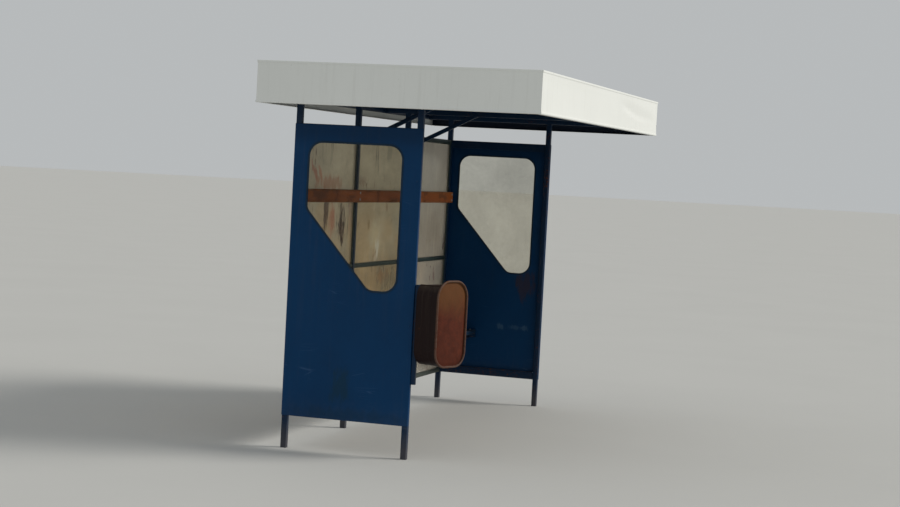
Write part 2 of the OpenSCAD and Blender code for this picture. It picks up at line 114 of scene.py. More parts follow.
def ripple(x, seed, waves=4, lowest=0.7):
    """Sum of a few sine waves of seeded lengths and phases, between about minus one and one."""
    rng = np.random.default_rng(abs(seed))
    k = lowest * (1 + rng.random(waves) * waves)
    phase = rng.random(waves) * TURN
    size = 1 / (1 + np.arange(waves))
    return (size * np.sin(np.asarray(x)[..., None] * k + phase)).sum(-1) / size.sum()


def fillet(corners, radii, steps=5, closed=True):
    """Line through the corners, each one turned into an arc: the centre lies on the bisector,
    and the points turn evenly from one tangent point to the other. Also gives the directions
    away from the centres."""
    p = np.asarray(corners, float)
    r = np.broadcast_to(np.asarray(radii, float), len(p))
    back, ahead = unit(np.roll(p, 1, 0) - p), unit(np.roll(p, -1, 0) - p)
    if not closed:
        back[0], ahead[-1] = -ahead[0], -back[-1]
    half = np.clip(np.arccos(np.clip((back * ahead).sum(1), -1, 1)) / 2, 1e-3, math.pi / 2 - 1e-3)
    tangent = (r / np.tan(half))[:, None]
    centre = p + unit(back + ahead) * (r / np.sin(half))[:, None]
    first, last = (unit(p + way * tangent - centre)[:, None] for way in (back, ahead))
    turn = (math.pi - 2 * half)[:, None]
    t = np.linspace(0, 1, steps + 1)[None]
    away = np.sin((1 - t) * turn)[..., None] * first + np.sin(t * turn)[..., None] * last
    away = away / np.sin(turn)[..., None]
    line = centre[:, None] + r[:, None, None] * away
    if closed:
        return line.reshape(-1, 2), away.reshape(-1, 2)
    return np.vstack([p[:1], line[1:-1].reshape(-1, 2), p[-1:]]), None


def densify(line, step, closed=False):
    """The same line with extra points, so that no run is longer than the step."""
    path = np.vstack([line, line[:1]]) if closed else line
    at = np.concatenate([[0], np.cumsum(np.linalg.norm(np.diff(path, axis=0), axis=1))])
    knots = [
        np.linspace(a, b, max(math.ceil((b - a) / step), 1), endpoint=False)
        for a, b in zip(at[:-1], at[1:])
    ]
    knots = np.concatenate(knots + [at[-1:]])
    out = np.stack([np.interp(knots, at, path[:, i]) for i in range(path.shape[1])], 1)
    return out[:-1] if closed else out


def sheet_section(corners, thickness, bend, step, steps=4):
    """Closed section of a folded sheet: its middle line with round bends, offset by half the
    thickness along the line's normals, out on one side and back on the other."""
    line = densify(fillet(corners, bend, steps, closed=False)[0], step)
    run = unit(np.diff(line, axis=0))
    along = unit(np.vstack([run[:1], run[:-1] + run[1:], run[-1:]]))
    normal = np.stack([-along[:, 1], along[:, 0]], 1)
    return np.vstack([line + normal * thickness / 2, (line - normal * thickness / 2)[::-1]])


def box_section(width, height, radius, steps=4):
    """Rectangle about the origin with round corners."""
    w, h = width / 2, height / 2
    return fillet([[-w, h], [w, h], [w, -h], [-w, -h]], radius, steps)[0]


def corner_wear(section, radius):
    """One on the round corners of a section, nought on its flat sides."""
    return ((np.abs(section).max(0) - np.abs(section)) < radius * 1.02).all(1).astype(float)


class Outline:
    """Convex closed outline with round corners. A point at an offset is its arc's centre plus
    the outward direction times the radius and the offset, so that every offset is parallel."""

    def __init__(self, corners, radii, step, steps=8):
        r = np.asarray(radii, float)
        line, away = (a.reshape(len(r), steps + 1, 2) for a in fillet(corners, radii, steps))
        centre = line[:, 0] - away[:, 0] * r[:, None]
        arcs = [np.hstack([np.tile([*c, q], (steps + 1, 1)), a]) for c, q, a in zip(centre, r, away)]
        rows = []
        for arc, after in zip(arcs, arcs[1:] + arcs[:1]):
            end = after[0]
            gap = np.linalg.norm((end[:2] + end[3:] * end[2]) - (arc[-1, :2] + arc[-1, 3:] * arc[-1, 2]))
            t = np.linspace(0, 1, max(int(gap / step), 1) + 1)[1:-1, None]
            rows += [arc, arc[-1] * (1 - t) + end * t]
        rows = np.vstack(rows)
        self.centre, self.radius, self.out = rows[:, :2], rows[:, 2:3], rows[:, 3:]

    def at(self, offset=0.0):
        return self.centre + self.out * (self.radius + offset)


# Meshes


def quads(rows, cols, close_rows=False, close_cols=False):
    """Corner numbers of the faces of a grid of points, row by row."""
    r = np.arange(rows if close_rows else rows - 1)
    c = np.arange(cols if close_cols else cols - 1)
    r, c = (a.ravel() for a in np.meshgrid(r, c, indexing="ij"))
    r1, c1 = (r + 1) % rows, (c + 1) % cols
    return np.stack([r * cols + c, r1 * cols + c, r1 * cols + c1, r * cols + c1], 1)


def outwards(points, faces):
    """The faces turned to look outwards. The signed volume inside them is the sum of the cones
    from the origin to each one."""
    total = 0.0
    for f in faces:
        for k in range(1, f.shape[1] - 1):
            cross = np.cross(points[f[:, k]], points[f[:, k + 1]])
            total += np.einsum("ij,ij->i", points[f[:, 0]], cross).sum()
    return [f[:, ::-1] for f in faces] if total < 0 else faces


def turned_to(direction):
    """Two directions at right angles to the given one, and that one."""
    d = unit(np.asarray(direction, float))
    x = unit(np.cross(X if abs(d[2]) > 0.9 else Z, d))
    return x, np.cross(d, x), d


class Build:
    """Gathers closed shapes, each with its faces outwards, into one mesh."""

    def __init__(self):
        self.points, self.faces, self.worn, self.count = [], [], [], 0

    def keep(self, points, faces, worn):
        """Adds points and faces as they are, with how worn each point is."""
        self.points.append(points)
        self.faces += [f + self.count for f in faces]
        self.worn.append(np.broadcast_to(np.ravel(worn), len(points)))
        self.count += len(points)
        return self

    def add(self, points, faces, worn=0.0):
        points = points.reshape(-1, 3)
        return self.keep(points, outwards(points - points.mean(0), faces), worn)

    def rod(self, grid, worn=0.0, closed=False, ladder=False):
        """Grid of closed sections, row by row: capped at both ends unless the path is closed.
        A ladder joins the two halves of a folded sheet's section across its thickness."""
        rows, cols = grid.shape[:2]
        faces = [quads(rows, cols, closed, True)]
        cap = np.arange(cols)[None]
        if ladder:
            k = np.arange(cols // 2 - 1)
            cap = np.stack([k, k + 1, cols - 2 - k, cols - 1 - k], 1)
        if not closed:
            faces += [cap, cap[:, ::-1] + (rows - 1) * cols]
        return self.add(grid, faces, np.broadcast_to(worn, (rows, cols)))

    def sweep(self, section, centres, x_axis, y_axis, worn, **form):
        """Section carried along a path: centre plus its two coordinates along two directions."""
        grid = np.asarray(centres)[:, None] + section[:, :1] * x_axis + section[:, 1:] * y_axis
        return self.rod(grid, worn, **form)

    def tube(self, a, b, side, width, height, cuts=(None, None)):
        """Square tube from a to b with its width along one side. Each line of it runs from the
        plane through a to the plane through b, so that the ends can be cut at any angle."""
        section = box_section(width, height, sizes().tube_corner)
        a, b = np.asarray(a, float), np.asarray(b, float)
        along = unit(b - a)
        ring = section[:, :1] * side + section[:, 1:] * np.cross(along, side)
        rails = []
        for point, cut in zip((a, b), cuts):
            normal = along if cut is None else cut
            rails.append(point + ring + (-(ring @ normal) / (along @ normal))[:, None] * along)
        t = np.linspace(0, 1, 3)[:, None, None]
        return self.rod(rails[0] * (1 - t) + rails[1] * t, corner_wear(section, sizes().tube_corner))

    def fill(self, lo, hi):
        """Tube that fills a box along its longest side."""
        size = hi - lo
        axis = int(np.argmax(size))
        first, second = (i for i in range(3) if i != axis)
        a, b = (lo + hi) / 2, (lo + hi) / 2
        a[axis], b[axis] = lo[axis], hi[axis]
        return self.tube(a, b, np.eye(3)[first], size[first], size[second])

    def studs(self, shape, places, direction):
        """The same small head at many places, its foot square to one direction."""
        points, faces = shape
        places = np.asarray(places, float)
        x, y, z = turned_to(direction)
        turned = places[:, None] + points[:, :1] * x + points[:, 1:2] * y + points[:, 2:] * z
        shift = (np.arange(len(places)) * len(points))[:, None, None]
        faces = [(f[None] + shift).reshape(-1, f.shape[1]) for f in outwards(points, faces)]
        return self.keep(turned.reshape(-1, 3), faces, 0.6)

    def finish(self, name, slot, *nodes):
        """Writes the mesh, its worn edges and its finish, and lets it ride and stand for nodes."""
        points = np.vstack(self.points)
        corners = np.concatenate([f.ravel() for f in self.faces]).astype(np.int32)
        counts = np.concatenate([np.full(len(f), f.shape[1]) for f in self.faces]).astype(np.int32)
        mesh = bpy.data.meshes.new(name)
        mesh.vertices.add(len(points))
        mesh.vertices.foreach_set("co", points.astype(np.float32).ravel())
        mesh.loops.add(len(corners))
        mesh.loops.foreach_set("vertex_index", corners)
        mesh.polygons.add(len(counts))
        mesh.polygons.foreach_set("loop_start", (np.cumsum(counts) - counts).astype(np.int32))
        mesh.polygons.foreach_set("loop_total", counts)
        mesh.update(calc_edges=True)
        attribute = mesh.attributes.new(WORN, "FLOAT", "POINT")
        attribute.data.foreach_set("value", np.concatenate(self.worn).astype(np.float32))
        mesh.shade_smooth()
        mesh.set_sharp_from_angle(angle=SMOOTH_ANGLE)
        if mesh.validate():
            raise RuntimeError(f"{name}: the mesh had broken faces")
        piece = bpy.data.objects.new(name, mesh)
        bpy.context.scene.collection.objects.link(piece)
        mesh.materials.append(finish_of(slot))
        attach(piece, "root")
        if nodes:
            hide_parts(*nodes)
        return piece


# Places in the frame

Box = namedtuple("Box", "lo hi mid size")


def box_of(name):
    """Lowest corner, highest corner, middle and size of a node."""
    lo, hi = (np.array(v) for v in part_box(name))
    return Box(lo, hi, (lo + hi) / 2, hi - lo)


def rear_posts():
    """Middles of the rear posts along X."""
    names = ("near_back_post", "near_middle_post", "far_middle_post", "far_back_post")
    return [box_of(n).mid[0] for n in names]


def rear_post_front():
    """Front face of the rear posts along Y."""
    return box_of("near_back_post").lo[1]


def bays():
    """Clear spans between the rear posts."""
    half = box_of("near_back_post").size[0] / 2
    x = rear_posts()
    return [(a + half, b - half) for a, b in zip(x[:-1], x[1:])]


def window_outline(end):
    """Window outline from the seal's own box: straight top and front side, short rear side and
    foot, and a slope that joins them."""
    seal = box_of(f"{end}_window_seal")
    (y0, z0), (y1, z1) = seal.lo[1:] + SEAL_WIDTH, seal.hi[1:] - SEAL_WIDTH
    corners = [(y1, z1), (y1, z1 - WINDOW_REAR), (y0 + WINDOW_FOOT, z0), (y0, z0), (y0, z1)]
    return Outline(corners, WINDOW_RADII, 0.02, 10)


def panel_face(end):
    """Outer face of a side panel along X, and its outward direction there."""
    panel = box_of(f"{end}_side_panel")
    return (panel.lo[0], -1) if end == "near" else (panel.hi[0], 1)


def slat_boxes():
    """Lowest and highest corner of each seat slat."""
    lo, hi, _, size = box_of("bench_seat")
    width = (size[1] - (SLATS - 1) * SLAT_GAP) / SLATS
    starts = lo[1] + np.arange(SLATS) * (width + SLAT_GAP)
    return [(np.array([lo[0], y, lo[2]]), np.array([hi[0], y + width, hi[2]])) for y in starts]


def roof_ribs():
    """Number of ribs of the roof cover, and the first one's place from its end."""
    long = box_of("roof_cover").size[0]
    ribs = int(long / COVER_PITCH)
    return ribs, (long - (ribs - 1) * COVER_PITCH) / 2


# Settings


def number(name, text, value, **form):
    return bpy.props.FloatProperty(name=name, description=text, default=value, min=0, **form)


def length(name, text, value):
    return number(name, text, value, unit="LENGTH", subtype="DISTANCE")


def colour(name, text, *value):
    return bpy.props.FloatVectorProperty(
        name=name, description=text, default=(*value, 1), size=4, subtype="COLOR", min=0, max=1)


class SHELTER_sizes(bpy.types.PropertyGroup):
    """Small sizes that the frame leaves open"""

    tube_corner: length("Tube corner", "Outer corner radius of the square tubes", 0.005)
    sheet: length("Panel sheet", "Thickness of the side panels", 0.003)
    panel_bend: length("Panel bend", "Outer radius of the folded edges of the side panels", 0.006)
    panel_wave: length("Panel wave", "Outward waviness of the large sheets", 0.0016)
    fascia_sheet: length("Roof edge sheet", "Thickness of the folded roof edge", 0.002)
    rim: length("Roof edge rim", "Height of the raised rims of the roof edge", 0.014)
    rim_out: length("Rim depth", "Depth by which those rims stand proud", 0.003)
    dent: length("Dent", "Depth of the crease in the front roof edge", 0.008)
    ease: length("Eased edge", "Radius of the eased edges of boards and slats", 0.006)
    wear: length("Board wear", "Depth of the worn hollows in boards and slats", 0.0012)
    screw: length("Screw head", "Diameter of the domed screw heads", 0.011)
    screw_gap: length("Screw spacing", "Spacing of the screws round the side panels", 0.3)
    bolt: length("Bolt head", "Diameter of the round bolt heads", 0.02)
    weld: length("Weld leg", "Leg of the fillet welds", 0.005)
    rim_wire: length("Bin rim", "Radius of the rolled rim of the bin", 0.007)
    bin_sheet: length("Bin sheet", "Thickness of the bin's sheet", 0.0025)


class SHELTER_colours(bpy.types.PropertyGroup):
    """Colours of the finishes"""

    panel: colour("Side panels", "Blue paint of the side panels", 0.0006, 0.038, 0.117)
    frame: colour("Frame", "Dark blue paint of the posts and beams", 0.0035, 0.022, 0.058)
    ceiling: colour("Underside", "Paint under the roof", 0.012, 0.022, 0.045)
    rail: colour("Rear rails", "Dark paint of the rear wall's rails", 0.028, 0.046, 0.044)
    fascia: colour("Roof edge", "Off-white paint of the roof edge", 0.815, 0.83, 0.80)
    board: colour("Shoulder board", "Weathered orange-brown board", 0.35, 0.088, 0.015)
    bench: colour("Bench", "Dark painted slats", 0.005, 0.024, 0.056)
    bin_body: colour("Bin body", "Dark paint of the bin's body", 0.0135, 0.0057, 0.0052)
    bin_front: colour("Bin front", "Red-brown rusty front plate", 0.079, 0.0168, 0.0072)
    bin_top: colour("Bin front, top", "Olive-brown weathering of its upper third", 0.120, 0.050, 0.015)
    # the rim colour is partly rubbed paint and partly a painted highlight
    bin_rim_and_highlight: colour("Bin rim", "Brown rubbed rim of the bin", 0.100, 0.058, 0.042)
    rust: colour("Rust", "Rust on chips and edges", 0.115, 0.036, 0.014)
    dirt: colour("Dirt", "Road dust and splashes", 0.19, 0.155, 0.115)
    zinc: colour("Zinc", "Zinc-coated steel", 0.47, 0.48, 0.49)
    cover: colour("Roof cover", "Weathered coated roof sheet", 0.40, 0.41, 0.40)
    pane: colour("Rear panes", "Dusty grey film on the rear panes", 0.78, 0.70, 0.54)
    # darker, browner colour of the lower rear panes: partly film, partly painted shade where the key light
    # falls on them
    pane_low_and_shade: colour("Rear panes, low", "Browner film lower down on the rear panes", 0.42, 0.35, 0.245)
    rubber: colour("Seal", "Weathered rubber of the window seals", 0.012, 0.032, 0.060)


class SHELTER_stage(bpy.types.PropertyGroup):
    """Camera and light"""

    lens: number("Lens", "Focal length in millimetres on a 36 mm wide sensor", 74.0)
    key: number("Key light", "Strength of the soft light from the front", 2.25)
    sky: number("Surround", "Brightness of the pale surround", 0.5)
    floor: colour("Floor", "Plain pale floor", 0.52, 0.52, 0.505)


def sizes():
    return bpy.context.scene.shelter_sizes


def colours():
    return bpy.context.scene.shelter_colours


# Shader nodes


class Value:
    """Output of a shader node. Arithmetic with it adds Math nodes to the same tree, and a | b is
    the larger of the two."""

    def __init__(self, nodes, socket):
        self.nodes, self.socket = nodes, socket

    def math(self, operation, a, b):
        return self.nodes.put("Math", 0, {0: a, 1: b}, operation=operation)

    def __rsub__(self, other):
        return self.math("SUBTRACT", other, self)

    def clamped(self):
        """The same value, held between nought and one."""
        self.socket.node.use_clamp = True
        return self

    def ramp(self, low, high):
        """Nought below low, one above high, smooth between them."""
        inputs = {"Value": self, 1: low, 2: high}
        return self.nodes.put("MapRange", 0, inputs, interpolation_type="SMOOTHSTEP", clamp=True)


for sign, operation in {
    "add": "ADD", "sub": "SUBTRACT", "mul": "MULTIPLY", "truediv": "DIVIDE", "pow": "POWER",
    "or": "MAXIMUM", "lt": "LESS_THAN", "gt": "GREATER_THAN",
}.items():
    setattr(Value, f"__{sign}__", lambda self, other, kind=operation: self.math(kind, self, other))


class Nodes:
    """Node tree with short ways to add the nodes that are used here."""

    def __init__(self, tree):
        self.tree = tree

    def join(self, value, socket):
        """Feeds a socket from an output, or sets it."""
        if isinstance(value, Value):
            self.tree.links.new(value.socket, socket)
        else:
            socket.default_value = value[:3] if socket.type == "VECTOR" else value

    def new(self, kind, inputs, **settings):
        node = self.tree.nodes.new("ShaderNode" + kind)
        for name, value in settings.items():
            setattr(node, name, value)
        for name, value in inputs.items():
            self.join(value, node.inputs[name])
        return node

    def put(self, kind, gives, inputs, **settings):
        """One output of a new node with its inputs and settings."""
        return Value(self, self.new(kind, inputs, **settings).outputs[gives])

    def point(self):
        return self.put("TexCoord", "Object", {})

    def parts(self, vector):
        return [Value(self, part) for part in self.new("SeparateXYZ", {0: vector}).outputs]

    def scaled(self, vector, gain):
        return self.put("VectorMath", 0, {0: vector, "Scale": gain}, operation="SCALE")

    def mix(self, factor, a, b):
        """Value between two numbers."""
        return self.put("Mix", 0, {0: factor, 2: a, 3: b}, data_type="FLOAT")

    def place(self, stretch=(1, 1, 1), turn=(0, 0, 0), shift=(0, 0, 0)):
        """Object coordinates, stretched, turned and shifted."""
        inputs = {"Vector": self.point(), "Scale": stretch, "Rotation": turn, "Location": shift}
        return self.put("Mapping", 0, inputs)

    def noise(self, scale, detail=3.0, rough=0.55, distortion=0.0, at=None, **place):
        return self.put("TexNoise", 0, {
            "Vector": at or self.place(**place), "Scale": scale, "Detail": detail, "Roughness": rough,
            "Distortion": distortion})

    def cells(self, gives, feature, scale, **place):
        return self.put("TexVoronoi", gives, {"Vector": self.place(**place), "Scale": scale}, feature=feature)

    def worn(self):
        return self.put("Attribute", "Fac", {}, attribute_name=WORN)


def effect(gives, **takes):
    """Turns a formula into a node group, built once, with the named outputs and inputs. Calling
    it places the group in a tree with values of its own and gives its outputs."""
    kinds = {True: "NodeSocketColor", False: "NodeSocketFloat"}
    gives = gives.split()

    def wrap(formula):
        def built():
            tree = bpy.data.node_groups.new(formula.__name__, "ShaderNodeTree")
            for label, default in takes.items():
                socket = tree.interface.new_socket(
                    label, in_out="INPUT", socket_type=kinds[label == "Color"])
                socket.default_value = default
            for label in gives:
                tree.interface.new_socket(label, in_out="OUTPUT", socket_type=kinds[label == "Color"])
            n = Nodes(tree)
            given = tree.nodes.new("NodeGroupInput").outputs
            results = formula(n, *(Value(n, given[label]) for label in takes))
            for value, socket in zip(np.atleast_1d(results), tree.nodes.new("NodeGroupOutput").inputs):
                n.join(value, socket)
            return tree

        def placed(n, **values):
            node = n.tree.nodes.new("ShaderNodeGroup")
            node.node_tree = bpy.data.node_groups.get(formula.__name__) or built()
            for label, value in values.items():
                n.join(value, node.inputs[label])
            outputs = [Value(n, node.outputs[label]) for label in gives]
            return outputs if len(outputs) > 1 else outputs[0]

        return placed

    return wrap


@effect("Color Shade", Color=(0.5, 0.5, 0.5, 1), Amount=0.2, Scale=1.6)
def paint_tone(n, colour, amount, scale):
    """Paint tone: broad patches of faded and fresher colour, and fine grain."""
    broad = n.noise(scale, 4.0, 0.6, 0.4)
    fine = n.noise(38.0, 2.0, 0.5, shift=(3, 1, 7))
    shade = (broad - 0.5) * 2.2 + (fine - 0.5) * 0.5
    return n.scaled(colour, shade * amount + 1.0), shade


@effect("Mask", Scale=30.0, Amount=0.5)
def rain_streaks(n, scale, amount):
    """Rain streaks: noise drawn out along the height, strongest where a broad noise allows it."""
    lines = n.noise(scale, 4.0, 0.65, stretch=(1, 1, 0.045))
    where = n.noise(1.3, 2.0, shift=(5, 5, 5))
    return (lines.ramp(0.48, 0.78) * where.ramp(0.3, 0.68) * amount).clamped()


@effect("Mask", Height=0.5, Amount=0.6)
def ground_splash(n, height, amount):
    """Splashed dirt: thick at the ground, gone above a given height, broken up by noise."""
    low = (1.0 - n.parts(n.point())[2] / height).clamped()
    grain = n.noise(26.0, 5.0, 0.7)
    return ((low ** 1.6 + grain * 0.55).ramp(0.38, 1.15) * amount).clamped()


@effect("Mask", Amount=0.5)
def settled_dust(n, amount):
    """Settled dust: on surfaces that face up, broken up by noise."""
    upward = n.parts(n.put("NewGeometry", "Normal", {}))[2].ramp(0.25, 0.95)
    grain = n.noise(11.0, 5.0, 0.7).ramp(0.25, 0.75)
    return (upward * (grain * 0.7 + 0.3) * amount).clamped()


@effect("Chip Halo", Edge=0.5, Open=0.1, Scale=60.0)
def paint_chips(n, edge, open_chips, scale):
    """Chips: small flakes on worn edges and a few in the open, and a wider halo round them."""
    flakes = n.noise(scale, 5.0, 0.72, 0.6)
    where = n.noise(3.1, 3.0, shift=(2, 9, 4))
    share = n.worn() * (edge * 0.34) + open_chips * 0.16
    level = flakes + share + (where - 0.5) * 0.5
    return level.ramp(0.79, 0.82), level.ramp(0.66, 0.82)


@effect("Mask", Scale=7.0, Amount=0.3)
def fine_scratches(n, scale, amount):
    """Fine scratches: thin lines of two stretched cell patterns, only in places."""
    one, two = (
        1.0 - n.cells(0, "DISTANCE_TO_EDGE", scale, stretch=(1, 0.12, 1), turn=(turn, turn, 0.2),
                      shift=(shift, 0, shift)).ramp(0.0, 0.006)
        for turn, shift in ((0.5, 0.0), (-0.9, 4.0))
    )
    where = n.noise(4.3, 3.0, shift=(8, 3, 1)).ramp(0.55, 0.7)
    return ((one | two) * where * amount).clamped()


@effect("Height", Fine=0.5, Broad=0.5)
def paint_skin(n, fine, broad):
    """Brushed and sprayed paint: a fine orange-peel height over soft unevenness."""
    return n.noise(420.0, 1.0) * fine + n.noise(16.0, 2.0) * broad


@effect("Color Height", Color=(0.12, 0.04, 0.015, 1), Scale=40.0)
def rust_skin(n, colour, scale):
    """Rust: tones from dark to orange by layered noise, and its rough height."""
    grain = n.noise(scale, 6.0, 0.75)
    broad = n.noise(7.0, 3.0, shift=(1, 2, 3))
    return n.scaled(colour, grain * 1.3 + broad * 0.75), grain


@effect("Grain Crack Knot", Scale=30.0, Knots=0.5)
def timber_grain(n, scale, knots):
    """Timber along X: growth lines of stretched noise, open cracks and dark knots."""
    centre = n.noise(2.2, 2.0, stretch=(0.7, 3, 3))
    aside = n.put("CombineXYZ", 0, {1: centre * 0.06, 2: centre * 0.09})
    pushed = n.put("VectorMath", 0, {0: n.place(stretch=(0.035, 1, 1)), 1: aside}, operation="ADD")
    grain = n.noise(scale, 5.0, 0.68, at=pushed)
    fine = n.noise(260.0, 2.0, stretch=(0.02, 1, 1))
    crack = 1.0 - n.noise(55.0, 3.0, stretch=(0.03, 1, 1), shift=(4, 4, 4)).ramp(0.27, 0.34)
    knot = 1.0 - n.cells("Distance", "F1", 2.6, stretch=(0.45, 1.6, 1.6)).ramp(0.03, 0.11)
    return fine * 0.3 + grain * 0.7, crack, knot * knots


@effect("Shade", Scale=70.0)
def zinc_spangle(n, scale):
    """Zinc spangle: cells of slightly different grey, each with its own tone."""
    tone = n.parts(n.cells("Color", "F1", scale))[0]
    return tone * 0.45 + n.noise(6.0, 4.0, 0.65) * 0.7


# Finishes


def times(colour, gain, lift=0.0):
    """The colour with its parts multiplied and lifted, each at most one."""
    return [*np.minimum(np.array(colour[:3]) * gain + lift, 1), 1]


class Finish(Nodes):
    """Material of a slot, under a name of its own, because the frame brings plain ones. Its
    colours are laid one over the other."""

    def __init__(self, slot):
        material = bpy.data.materials.new(FINISH_PREFIX + slot)
        material.use_nodes = True
        super().__init__(material.node_tree)
        self.material, self.shown = material, None

    def lay(self, mask, colour):
        """Lays a colour over those so far where the mask is one."""
        self.shown = self.put("Mix", 2, {0: mask, 6: self.shown, 7: colour}, data_type="RGBA")

    def end(self, roughness, bump=None, **others):
        """Feeds the shader. The bump is a height, its strength and its distance; other inputs are
        named with _ for a blank."""
        inputs = {"Base Color": self.shown, "Roughness": roughness}
        inputs |= {name.replace("_", " "): value for name, value in others.items()}
        if bump:
            inputs["Normal"] = self.put("Bump", 0, dict(zip(("Height", "Strength", "Distance"), bump)))
        for name, value in inputs.items():
            self.join(value, self.tree.nodes["Principled BSDF"].inputs[name])


def finish_of(slot):
    return bpy.data.materials[FINISH_PREFIX + slot]


def ragged_patch(n, centre, reach, turn=0.0, plane=(1, 0, 1)):
    """One inside a tilted ellipse on an upright plane, nought outside, broken up by two
    drawn-out noises."""
    inputs = {"Vector": n.point(), "Location": centre, "Rotation": (0, turn, 0), "Scale": reach}
    near = n.put("Mapping", 0, inputs, vector_type="TEXTURE")
    flat = n.put("VectorMath", 0, {0: near, 1: plane}, operation="MULTIPLY")
    away = n.put("VectorMath", "Value", {0: flat}, operation="LENGTH")
    broad = n.noise(17.0, 4.0, 0.7, stretch=(1, 1, 0.35)) - 0.5
    fine = n.noise(70.0, 2.0, 0.6, stretch=(1, 1, 0.12), shift=(2, 0, 5)) - 0.5
    return 1.0 - (broad * 2.6 + (fine * 1.4 + away)).ramp(0.35, 1.05)


# Stains, rubbed spots and a darker band low on the near panel, on the side panels: sign of X, Y, Z, half
# height, half width, strength, tint
PALE_SPOT = (0.08, 0.15, 0.23, 1)
PANEL_MARKS = (
    (-1, 0.35, 0.46, 0.14, 0.09, 0.65, (0.006, 0.034, 0.062, 1)),
    # a darker band along the foot of the near panel
    (-1, 0.30, 0.26, 0.05, 0.45, 0.3, (0.006, 0.030, 0.055, 1)),
    (1, 0.02, 1.00, 0.13, 0.11, 0.55, (0.050, 0.026, 0.018, 1)),
    (1, 0.21, 0.64, 0.030, 0.040, 0.35, PALE_SPOT),
    (1, 0.09, 0.64, 0.022, 0.060, 0.25, PALE_SPOT),
    (1, 0.02, 0.64, 0.030, 0.040, 0.35, PALE_SPOT),
)

# Smears on the rear panes, and a painted highlight (the two pale ones near x = 0, z = 1.3 to 1.4): X, Z, half
# height, half width, tilt, strength, tint
SMEARS_AND_HIGHLIGHT = (
    (-1.40, 1.87, 0.13, 0.035, -0.85, 0.7, (0.62, 0.17, 0.085, 1)),
    (-1.27, 1.84, 0.11, 0.028, -0.75, 0.6, (0.72, 0.24, 0.12, 1)),
    (-1.10, 1.79, 0.06, 0.34, 0.0, 0.6, (0.62, 0.26, 0.14, 1)),
    (-0.44, 1.81, 0.06, 0.06, 0.0, 0.45, (0.40, 0.22, 0.17, 1)),
    (-1.14, 1.60, 0.14, 0.060, 0.05, 0.9, (0.16, 0.065, 0.026, 1)),
    (-1.02, 1.52, 0.15, 0.070, 0.0, 0.75, (0.78, 0.30, 0.17, 1)),
    (-0.84, 1.50, 0.18, 0.085, 0.03, 1.0, (0.09, 0.030, 0.014, 1)),
    (-0.66, 1.58, 0.16, 0.06, 0.0, 0.4, (0.62, 0.33, 0.24, 1)),
    (-0.24, 1.49, 0.05, 0.035, 0.0, 0.5, (0.36, 0.22, 0.10, 1)),
    # painted highlight: a near-white spot and its pale glow on the pane
    (-0.03, 1.32, 0.09, 0.06, 0.35, 0.8, (1.0, 0.99, 0.90, 1)),
    (-0.10, 1.42, 0.18, 0.12, 0.3, 0.35, (0.95, 0.87, 0.66, 1)),
    (0.10, 1.10, 0.06, 0.15, 0.0, 0.35, (0.50, 0.24, 0.09, 1)),
    (0.15, 2.03, 0.08, 0.06, 0.0, 0.4, (0.26, 0.28, 0.23, 1)),
)


def paint(slot, base, tone=0.16, streaks=0.3, splash=0.45, splash_height=0.55, dust=0.35, edge=0.55,
          open_chips=0.15, scratches=0.25, gloss=0.42, level=0.3, grime=None, inside=None, painted_roof_shade=0.0,
          marks=()):
    """Weathered paint on steel: toned colour, streaks and dirt over it, chips down to rust. It may
    have stains, another colour on the sides that look inwards under the roof, and painted shade
    along the top, under the roof."""
    c, m = colours(), Finish(slot)
    m.shown, shade = paint_tone(m, Color=base, Amount=tone)
    streak = rain_streaks(m, Scale=34.0, Amount=streaks)
    dirt = ground_splash(m, Height=splash_height, Amount=splash) | settled_dust(m, Amount=dust)
    chip, halo = paint_chips(m, Edge=edge, Open=open_chips)
    rust, rust_height = rust_skin(m, Color=c.rust)
    m.lay(streak, grime or times(c.dirt, 0.6))
    m.lay(fine_scratches(m, Amount=scratches), times(base, 2.2, 0.09))
    m.lay(halo * 0.14, c.rust)
    m.lay(chip, rust)
    m.lay(dirt, c.dirt)
    x, _, z = m.parts(m.point())
    for end, mark_y, mark_z, long, wide, strength, tint in marks:
        patch = ragged_patch(m, (0, mark_y, mark_z), (1, wide, long), plane=(0, 1, 1))
        m.lay(patch * ((x * end > 0.0) * strength), tint)
    if inside:
        facing = m.parts(m.put("NewGeometry", "Normal", {}))[0]
        m.lay((facing * x < -1.2) * (z < ROOF_UNDERSIDE), inside)
    # painted shade: the top of the sheet is darkened towards the roof, as if in the roof's shadow
    if painted_roof_shade:
        m.lay(z.ramp(2.0, 2.14) * painted_roof_shade, times(base, 0.35))
    skin = paint_skin(m, Fine=0.25, Broad=0.6) - chip * 0.9
    m.end(m.mix(dirt | (chip | streak), shade * 0.06 + gloss, 0.85),
          (rust_height * (chip * 0.4) + skin, 0.35, 0.0012), Specular_IOR_Level=level)


def zinc(slot, base, metal=0.85, rust_share=0.25, rough=0.45, dirt_share=0.4):
    """Zinc-coated steel: spangled grey, dulled by dirt, with some rust where it is worn."""
    c, m = colours(), Finish(slot)
    shade = zinc_spangle(m)
    m.shown = m.scaled(base, shade * 0.55 + 0.62)
    chip = paint_chips(m, Edge=rust_share, Open=rust_share * 0.6, Scale=34.0)[0]
    rust, rust_height = rust_skin(m, Color=c.rust, Scale=60.0)
    dirt = settled_dust(m, Amount=dirt_share) | rain_streaks(m, Scale=24.0, Amount=dirt_share)
    m.lay(dirt, times(c.dirt, 0.75))
    m.lay(chip, rust)
    dull = dirt | chip
    m.end(m.mix(dull, shade * 0.12 + rough, 0.88), (rust_height * chip + shade * 0.2, 0.3, 0.001),
          Metallic=m.mix(dull, metal, 0.0))


